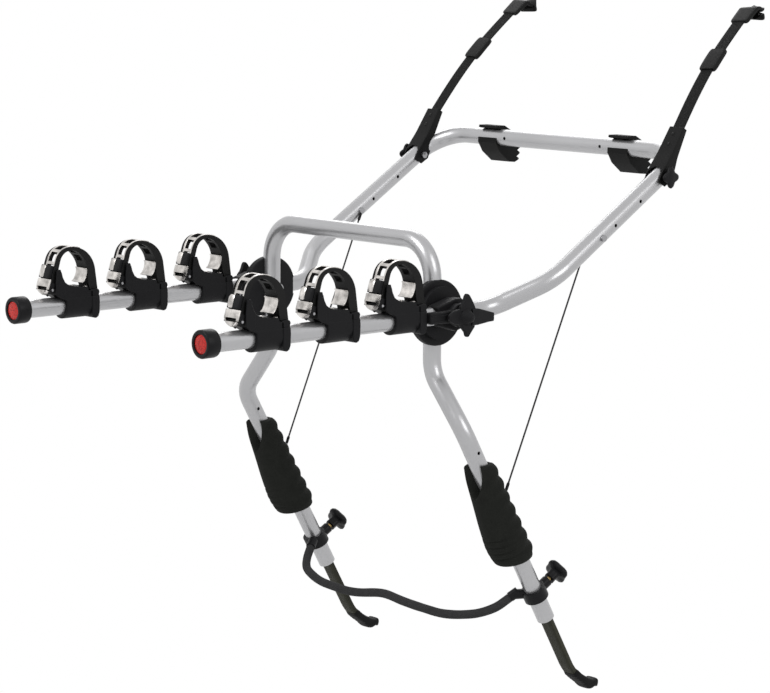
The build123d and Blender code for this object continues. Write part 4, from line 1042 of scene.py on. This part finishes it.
# Lower hooks
HOOK_START, HOOK_BEND_AT, HOOK_BEND_R = LEG_LENGTH - 88.0, LEG_LENGTH + 136.0, 95.0
HOOK_NOSE, HOOK_NOSE_DIR = 50.0, heading(-15.5)
HOOK_FLAT = (0.0, 1.0, 0.35)
BOOT_LENGTH, BOOT_RIBS = 64.0, 9
BOOT_PLACES = (0, 0.05, 0.25, 0.5, 0.68, 0.8, 0.9, 0.96, 1.0)
BOOT_THICKNESS = (12.8, 14.0, 14.5, 15.5, 19.0, 18.0, 13.5, 13.5, 5.0)
BOOT_LIFTS = (0.0, 0.0, 0.0, -0.5, -2.4, -2.2, 0.5, 2.0, 2.0)


def hook_line(extra=0.0):
    """Line of the lower hook: along the leg, out of it and bent to the car."""
    corner = on_leg(HOOK_BEND_AT)
    nose = corner + HOOK_NOSE_DIR * (HOOK_NOSE + extra)
    return rounded_line([on_leg(HOOK_START), corner, nose], (HOOK_BEND_R,))


class RACK_OT_lower_hooks(bpy.types.Operator):
    """Add the ribbed sleeves and rubber boots of the lower hooks"""
    bl_idname = "rack.lower_hooks"
    bl_label = "Lower hooks"

    def execute(self, context):
        for side, sign in SIDES:
            line = spread(hook_line(), 3.0)
            a, b = soft_rectangle(26.3, 12.0, 4.0, 56)
            bar = skin(f"hook_sleeve_{side}", carried(line, HOOK_FLAT, a, b), sign, "hook", sharp=60.0)
            pattern_map(bar, distances(line)[:, None], a[None])
            place(bar, f"lower_hook_{side}", "hook_coat", f"lower_hook_strap_{side}")
            self.boot(side, sign)
        return {"FINISHED"}

    def boot(self, side, sign):
        """Rubber boot: the bar's section grown and lifted by eased profiles, with cosine ribs on the
        part nearer the leg, ending in a round nose."""
        line = hook_line(0.5)
        total = distances(line)[-1]
        s = np.linspace(total - BOOT_LENGTH, total, 70)
        line = at_distances(line, s)
        t = (s - s[0]) / (s[-1] - s[0])
        width = eased(t, (0, 0.04, 0.3, 0.7, 0.9, 0.97, 1.0), (27.2, 29.0, 30.5, 30.5, 30.0, 28.0, 22.0))
        thick = eased(t, BOOT_PLACES, BOOT_THICKNESS) + 0.5 * np.cos(2 * math.pi * t * BOOT_RIBS) * (t < 0.6)
        lift = eased(t, BOOT_PLACES, BOOT_LIFTS)
        a, b = soft_rectangle(1.0, 1.0, 3.4, 56)
        rings = carried(line, HOOK_FLAT, width[:, None] * a, thick[:, None] * b + lift[:, None])
        boot = skin(f"hook_boot_{side}", rings, sign, "rubber", sharp=70.0)
        place(boot, f"lower_hook_{side}", "pad_rubber", f"lower_hook_tip_{side}")


# Caps, knobs, feet and cables: turned profiles hold places along the axis and the radius at each
CAP = (
    (3.4, 3.4, 3.4, 0.3, 0.0, 0.0, 0.7, 2.2, 22.0, 24.2, 25.0, 25.0),
    (0.5, 8.0, 15.2, 15.6, 16.5, 20.0, 21.5, 22.2, 22.2, 21.6, 20.4, 15.2),
)
LENS = ((1.0, 1.05, 1.4, 2.0, 3.2), (0.4, 8.0, 13.0, 14.9, 14.9))
COLLAR_HEAD = (
    (38.6, 39.2, 41, 51, 53, 54.5, 56, 58, 61, 64.5, 67.2, 68.0),
    (8.6, 9.8, 9.8, 9.4, 10.2, 15.0, 19.6, 21.0, 20.6, 18.0, 13.5, 9.0),
)
COLLAR_LOBES = (0.0, 0.6, 0.8, 0.8, 0.8, 1.6, 2.0, 2.2, 2.2, 2.0, 1.4, 0.8)
BRACKET_HEAD_TURNED = (
    (18.9, 19.4, 22, 24, 25, 27.5, 29.2, 29.8),
    (8.5, 9.5, 9.2, 12.5, 15.0, 15.6, 14.6, 12.0),
)
BRACKET_LOBES = (0, 0, 0, 1.4, 2.8, 3.0, 2.8, 2.2)
HUB_CORE = ((0.0, 0.8, 4.0, 9.0, 13.0, 20.6, 22.0, 22.6), (16.5, 17.5, 17.5, 15.0, 10.5, 7.6, 5.0, 0.6))
FERRULE = ((0, 0.6, 11.0, 13.0, 14.0), (2.0, 2.6, 2.6, 2.1, 1.5))
HUB_BLOCK = (
    (-42, 16.5), (-20, 22.5), (0, 27.5), (12, 27.5), (22, 20), (25, 0), (20, -20), (0, -26), (-20, -20),
    (-42, -14),
)
HUB_BAR = (
    (-68, -6.5), (-68, 9), (-64.5, 11), (-40, 10.5), (-20, 12), (-8, 20), (6, 21), (20, 14), (28, 2),
    (24, -12), (10, -19), (-8, -17), (-22, -9.5), (-40, -8.5), (-64.5, -8.5),
)
UPPER_FIN = (
    (-14, 6), (-12, 17), (-7, 22), (-4.2, 27.5), (-2.4, 33), (0.4, 37), (3.2, 37.6), (6.8, 34.8), (11.5, 28),
    (16.5, 19.5), (20.4, 11.5), (20, 4),
)
LOWER_FIN = (
    (20, -4), (18.5, -17.7), (11, -26), (5.6, -32.4), (2.6, -33.5), (-0.4, -31.5), (-2.5, -25), (-9, -18),
    (-12, -6),
)
LEFT_FIN = ((-6, 12), (-16, 14), (-28, 11), (-37, 5), (-38, 0), (-35, -4), (-26, -9), (-16, -12), (-6, -12))
WING = {
    "y": (10.0, 24.0, 27.0, 50.0, 56.5, 59.5, 60.5),
    "tall": (27.0, 27.0, 26.0, 17.0, 15.0, 14.0, 11.0),
    "deep": (12.0, 12.0, 11.5, 9.0, 8.6, 8.0, 6.0),
    "drop": (-1.2, -1.4, -1.6, -3.6, -4.4, -4.6, -4.6),
}
FOOT_DEPTH, FOOT_HEIGHT, FOOT_HALF_WIDTH, FOOT_BORE_R = 46.0, 45.0, 23.8, 15.3
FOOT_SHARES = (
    (-0.35, -0.02), (-0.36, -0.2), (-0.12, -0.6), (0.38, -1.0), (0.7, -1.03), (0.9, -0.94), (0.93, -0.88),
    (0.8, -0.8), (0.96, -0.7), (0.97, -0.64), (0.84, -0.55), (1.0, -0.44), (1.0, -0.38), (0.86, -0.3),
    (0.81, -0.12), (0.62, 0.2),
)
FOOT_CLIP = ((6, 21.6), (-13.5, 21.8), (-14.5, 17.5), (-8, 15.8))


class RACK_OT_ends(bpy.types.Operator):
    """Add the arm caps, reflectors, knobs, screws, feet and side cables"""
    bl_idname = "rack.ends"
    bl_label = "Caps, knobs, feet and cables"

    def execute(self, context):
        makers = (self.cap, self.collar_knob, self.bracket_knob, self.foot, self.hub_clamp, self.hub_knob,
                  self.cable)
        for side, sign in SIDES:
            for make in makers:
                make(side, sign)
        return {"FINISHED"}

    def cap(self, side, sign):
        """Cup with a rounded rim round the reflector, which is a shallow dome."""
        start, ahead = (ARM_X, ARM_CAP_Y, 0), (0, 1, 0)
        cup = skin(f"cap_{side}", turned(start, ahead, *CAP, 72), sign, "satin", sharp=40.0)
        place(cup, f"arm_{side}", "cap_plastic", f"arm_end_cap_{side}")
        disc = skin(f"reflector_disc_{side}", turned(start, ahead, *LENS, 64), sign, "red", sharp=60.0)
        place(disc, f"arm_{side}", "reflector_red", f"reflector_{side}")

    def collar_knob(self, side, sign):
        """Fluted stem that widens into a head with four round lobes, and its brass screw."""
        body = f"collar_knob_{side}"
        base = on_leg(COLLAR_AT)
        rings = turned(base, LEG_OUT, *COLLAR_HEAD, 96, 4, COLLAR_LOBES)
        head = skin(f"collar_knob_head_{side}", rings, sign, "satin", sharp=55.0)
        place(head, body, "collar_plastic", body)
        rings = turned(base, LEG_OUT, [16.0, 16.5, 43.5, 44.0], [3.6, 4.3, 4.3, 3.6], 32)
        place(skin(f"collar_screw_{side}", rings, sign, "brass"), body, "steel_parts")

    def bracket_knob(self, side, sign):
        """Low lobed knob on the bracket's outer side, with its screw and inner nut."""
        body = f"bracket_knob_{side}"
        rings = turned(PIVOT, ACROSS, *BRACKET_HEAD_TURNED, 96, 4, BRACKET_LOBES)
        head = skin(f"bracket_knob_head_{side}", rings, sign, "satin", sharp=55.0)
        place(head, body, "collar_plastic", body)
        rings = turned(PIVOT, ACROSS, [-22.9, -22.6, -19.2, -18.9], [5.6, 6.4, 6.4, 5.6], 6)
        place(skin(f"bracket_nut_{side}", rings, sign, "steel"), body, "steel_parts")
        rings = turned(PIVOT, ACROSS, [-19.0, 19.0], [2.9, 2.9], 24)
        place(skin(f"bracket_screw_{side}", rings, sign, "steel"), body, "steel_parts")

    def foot(self, side, sign):
        """Toothed rubber foot under the bar with its clip over the bar, one outline carried along X."""
        middle = np.array([TOP_Y, TOP_Z])
        outline = np.array(FOOT_SHARES) * np.array([FOOT_DEPTH, FOOT_HEIGHT]) + middle
        turn = np.radians(np.linspace(75, -180, 24))
        wrap = middle + FOOT_BORE_R * np.column_stack([np.cos(turn), np.sin(turn)])
        whole = np.concatenate([outline, middle + np.array(FOOT_CLIP), wrap])
        x0, x1 = PAD_X - FOOT_HALF_WIDTH, PAD_X + FOOT_HALF_WIDTH
        place(prism(f"top_foot_{side}", whole, x0, x1, sign, "rubber", 1.0), "upper_frame", "pad_rubber",
              "top_bar_pads")

    def hub_clamp(self, side, sign):
        """Clamp on the arm's end: a wedge-shaped block, a bar with a rounded front tip and two fine ribs."""
        body = f"arm_{side}"
        place(prism(f"hub_block_{side}", HUB_BLOCK, 239.0, 264.0, sign, "plastic", 2.6),
              body, "hub_plastic", f"arm_clamp_{side}")
        place(prism(f"hub_bar_{side}", HUB_BAR, 263.4, 277.0, sign, "plastic", 3.0), body, "hub_plastic")
        c, d = circle(12)
        for name, z in (("a", 5.6), ("b", -4.6)):
            points = np.array([[277.0, -66.0, z], [277.4, -40.0, z * 0.8], [277.4, -14.0, z * 1.3]])
            line = spread(points, 3.0)
            rib = skin(f"hub_bar_rib_{name}_{side}", carried(line, ACROSS, 0.8 * c, 0.8 * d), sign, "plastic",
                       sharp=80.0)
            place(rib, body, "hub_plastic")

    def hub_knob(self, side, sign):
        """Wing knob: a domed core, three fins with outlines carried along X, and a long tapered wing
        whose rounded section shrinks toward its end."""
        body = f"hub_knob_{side}"
        core = skin(f"hub_knob_core_{side}", turned((279.2, 0, 0), ACROSS, *HUB_CORE, 64), sign, "plastic",
                    sharp=45.0)
        place(core, body, "hub_plastic", body)
        for name, outline in (("upper", UPPER_FIN), ("lower", LOWER_FIN), ("left", LEFT_FIN)):
            fin = prism(f"hub_knob_{name}_{side}", outline, 281.5, 289.0, sign, "plastic", 2.2)
            place(fin, body, "hub_plastic")
        y, tall, deep, drop = [np.array(WING[key]) for key in ("y", "tall", "deep", "drop")]
        a, b = soft_rectangle(1.0, 1.0, 6.0)
        line = np.column_stack([np.full(len(y), 286.0), y, drop])
        rings = carried(line, (0, 0, 1.0), deep[:, None] * a, tall[:, None] * b)
        place(skin(f"hub_knob_wing_{side}", rings, sign, "plastic", sharp=40.0), body, "hub_plastic")

    def cable(self, side, sign):
        """Taut round cable with a swaged ferrule at each end."""
        hole = ELBOW + SIDE_DIR * CABLE_BOLT_AT
        upper = np.array([ELBOW[0] - TUBE_R - 2.0, hole[1], hole[2]])
        lower = on_leg(CABLE_STUD_AT, CABLE_STUD_OUT)
        way = unit(lower - upper)
        start, end = upper + way * 5.8, lower - way * 1.8
        line = spread(np.stack([start, end]), 6.0)
        c, d = circle(16)
        radius = size("cable_diameter") / 2
        rings = carried(line, ACROSS, radius * c, radius * d)
        sheath = skin(f"cable_{side}", rings, sign, "cable", sharp=80.0)
        pattern_map(sheath, distances(line)[:, None], np.linspace(0, 2 * math.pi * radius, 16)[None])
        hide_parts(f"side_cable_{side}")
        ferrule = way * FERRULE[0][-1]
        tuple(reflected((start + ferrule) * MM, sign))
        tuple(reflected((end - ferrule) * MM, sign))
        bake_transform(sheath)
        for name, at, direction in (("upper", start, way), ("lower", end, -way)):
            rings = turned(at, direction, *FERRULE, 24)
            place(skin(f"cable_ferrule_{name}_{side}", rings, sign, "satin"), f"{name}_frame", "cable_sheath")


# CAD nodes that keep their shape
FINISHED_NODES = {
    "tube": ("lower_frame_tube", "upper_frame_tube", "arm_tube_right", "arm_tube_left"),
    "steel": ("hub_pivot_bolts", "lower_cable_studs", "cable_bolts"),
    "plastic": ("hub_inner_discs", "hub_frame_sockets"),
    "satin": ("bumper_collars",),
}


class RACK_OT_finishes(bpy.types.Operator):
    """Give every CAD node that keeps its shape its finish"""
    bl_idname = "rack.finishes"
    bl_label = "Finishes of the frame"

    def execute(self, context):
        for key, nodes in FINISHED_NODES.items():
            for node in nodes:
                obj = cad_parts[node]
                if not obj.material_slots:
                    obj.data.materials.append(finish(key))
                for slot in obj.material_slots:
                    slot.material = finish(key)
        return {"FINISHED"}


# Stage: lights and camera in metres, their places in the frame's axes
LIGHT_AIM = (0, 0.1, 0)
LIGHTS = (
    ("key_light", (-0.6, -3.4, 3.2), 2.2, 96.0),
    ("side_light", (3.6, 0.2, 2.0), 2.2, 40.0),
    ("back_light", (-2.6, 2.4, 2.2), 2.0, 30.0),
)
SOFT_LIGHT = 0.32
FLOOR_DROP, FLOOR_REACH = 320.0, 60000.0
CAMERA_AT = (3.607461, -3.131687, 0.629315)
CAMERA_FORWARD, CAMERA_RIGHT = (-0.739, 0.658, -0.147), (0.665, 0.747, 0.003)
SENSOR_WIDTH, FOCAL_LENGTH = 36.0, 133.52


def stand(name, data, at, right, up, back):
    """Object with its data at a place, its own X, Y and Z axes along the three directions."""
    obj = bpy.data.objects.new(name, data)
    axes = np.column_stack([right, up, back])
    obj.matrix_world = Matrix.Translation(at) @ Matrix(axes.tolist()).to_4x4()
    bpy.context.scene.collection.objects.link(obj)
    return obj


class RACK_OT_stage(bpy.types.Operator):
    """Add the white floor, the soft lights, the world and the camera"""
    bl_idname = "rack.stage"
    bl_label = "Stage"

    def execute(self, context):
        self.floor()
        self.world()
        for name, at, width, power in LIGHTS:
            self.lamp(name, at, width, power)
        self.camera()
        return {"FINISHED"}

    def floor(self):
        """Flat square far wider than the view, below the lowest point.  It is plain white where it is
        seen and matt to other rays."""
        material = bpy.data.materials.new("floor_white")
        nodes = cleared(material)
        glow = nodes.node("ShaderNodeEmission", {}, {"Color": (1, 1, 1, 1)})
        matt = nodes.node("ShaderNodeBsdfDiffuse", {}, {"Color": (0.9, 0.9, 0.9, 1)})
        mixed = nodes.node("ShaderNodeMixShader", {}, seen_directly(nodes), matt, glow)
        nodes.end("ShaderNodeOutputMaterial", mixed)
        x = np.linspace(-FLOOR_REACH, FLOOR_REACH, 3)
        z = np.full((3, 3), CAD_BOX[0][2] / MM - FLOOR_DROP)
        grid = np.stack(np.broadcast_arrays(x[None], x[:, None], z), -1)
        new_object("floor", grid, quads(3, 3).reshape(-1, 4).tolist(), material)

    def world(self):
        """Soft white light all round, plain white where it is seen."""
        world = bpy.data.worlds.new("studio")
        nodes = cleared(world)
        soft = nodes.node("ShaderNodeBackground", {}, (1, 1, 1, 1), SOFT_LIGHT)
        white = nodes.node("ShaderNodeBackground", {}, (1, 1, 1, 1), 1.0)
        mixed = nodes.node("ShaderNodeMixShader", {}, seen_directly(nodes), soft, white)
        nodes.end("ShaderNodeOutputWorld", mixed)
        bpy.context.scene.world = world

    def lamp(self, name, at, width, power):
        """Square area light turned to the rack."""
        light = bpy.data.lights.new(name, "AREA")
        light.size = width
        light.energy = power
        back = unit(np.array(at) - np.array(LIGHT_AIM))
        right = unit(np.cross((0, 0, 1.0), back))
        stand(name, light, at, right, np.cross(back, right), back)

    def camera(self):
        """Camera solved from the photograph's straight tubes and mirror pairs."""
        data = bpy.data.cameras.new("photo_view")
        data.sensor_fit = "HORIZONTAL"
        data.sensor_width = SENSOR_WIDTH
        data.lens = FOCAL_LENGTH
        data.clip_end = 400.0
        forward = unit(CAMERA_FORWARD)
        up = unit(np.cross(unit(CAMERA_RIGHT), forward))
        obj = stand("photo_view", data, CAMERA_AT, np.cross(forward, up), up, -forward)
        bpy.context.scene.camera = obj
        bpy.context.scene.view_settings.view_transform = "Standard"


OPERATORS = (RACK_OT_finishes, RACK_OT_foam, RACK_OT_cradles, RACK_OT_lid_straps, RACK_OT_lower_hooks,
             RACK_OT_ends, RACK_OT_stage)


class RACK_PT_panel(bpy.types.Panel):
    """Lists the operators and the values that they read"""
    bl_label = "Bike Rack"
    bl_idname = "RACK_PT_panel"
    bl_space_type = "VIEW_3D"
    bl_region_type = "UI"
    bl_category = "Bike Rack"

    def draw(self, context):
        for group in (context.scene.rack_colours, context.scene.rack_sizes):
            for name in group.__annotations__:
                self.layout.prop(group, name)
        for operator in OPERATORS:
            self.layout.operator(operator.bl_idname)


CLASSES = (RackColours, RackSizes, *OPERATORS, RACK_PT_panel)


def register():
    for item in CLASSES:
        bpy.utils.register_class(item)
    bpy.types.Scene.rack_colours = bpy.props.PointerProperty(type=RackColours)
    bpy.types.Scene.rack_sizes = bpy.props.PointerProperty(type=RackSizes)


def unregister():
    del bpy.types.Scene.rack_sizes
    del bpy.types.Scene.rack_colours
    for item in reversed(CLASSES):
        bpy.utils.unregister_class(item)


def main():
    register()
    for operator in OPERATORS:
        group, name = operator.bl_idname.split(".")
        getattr(getattr(bpy.ops, group), name)()


if __name__ == "__main__":
    main()
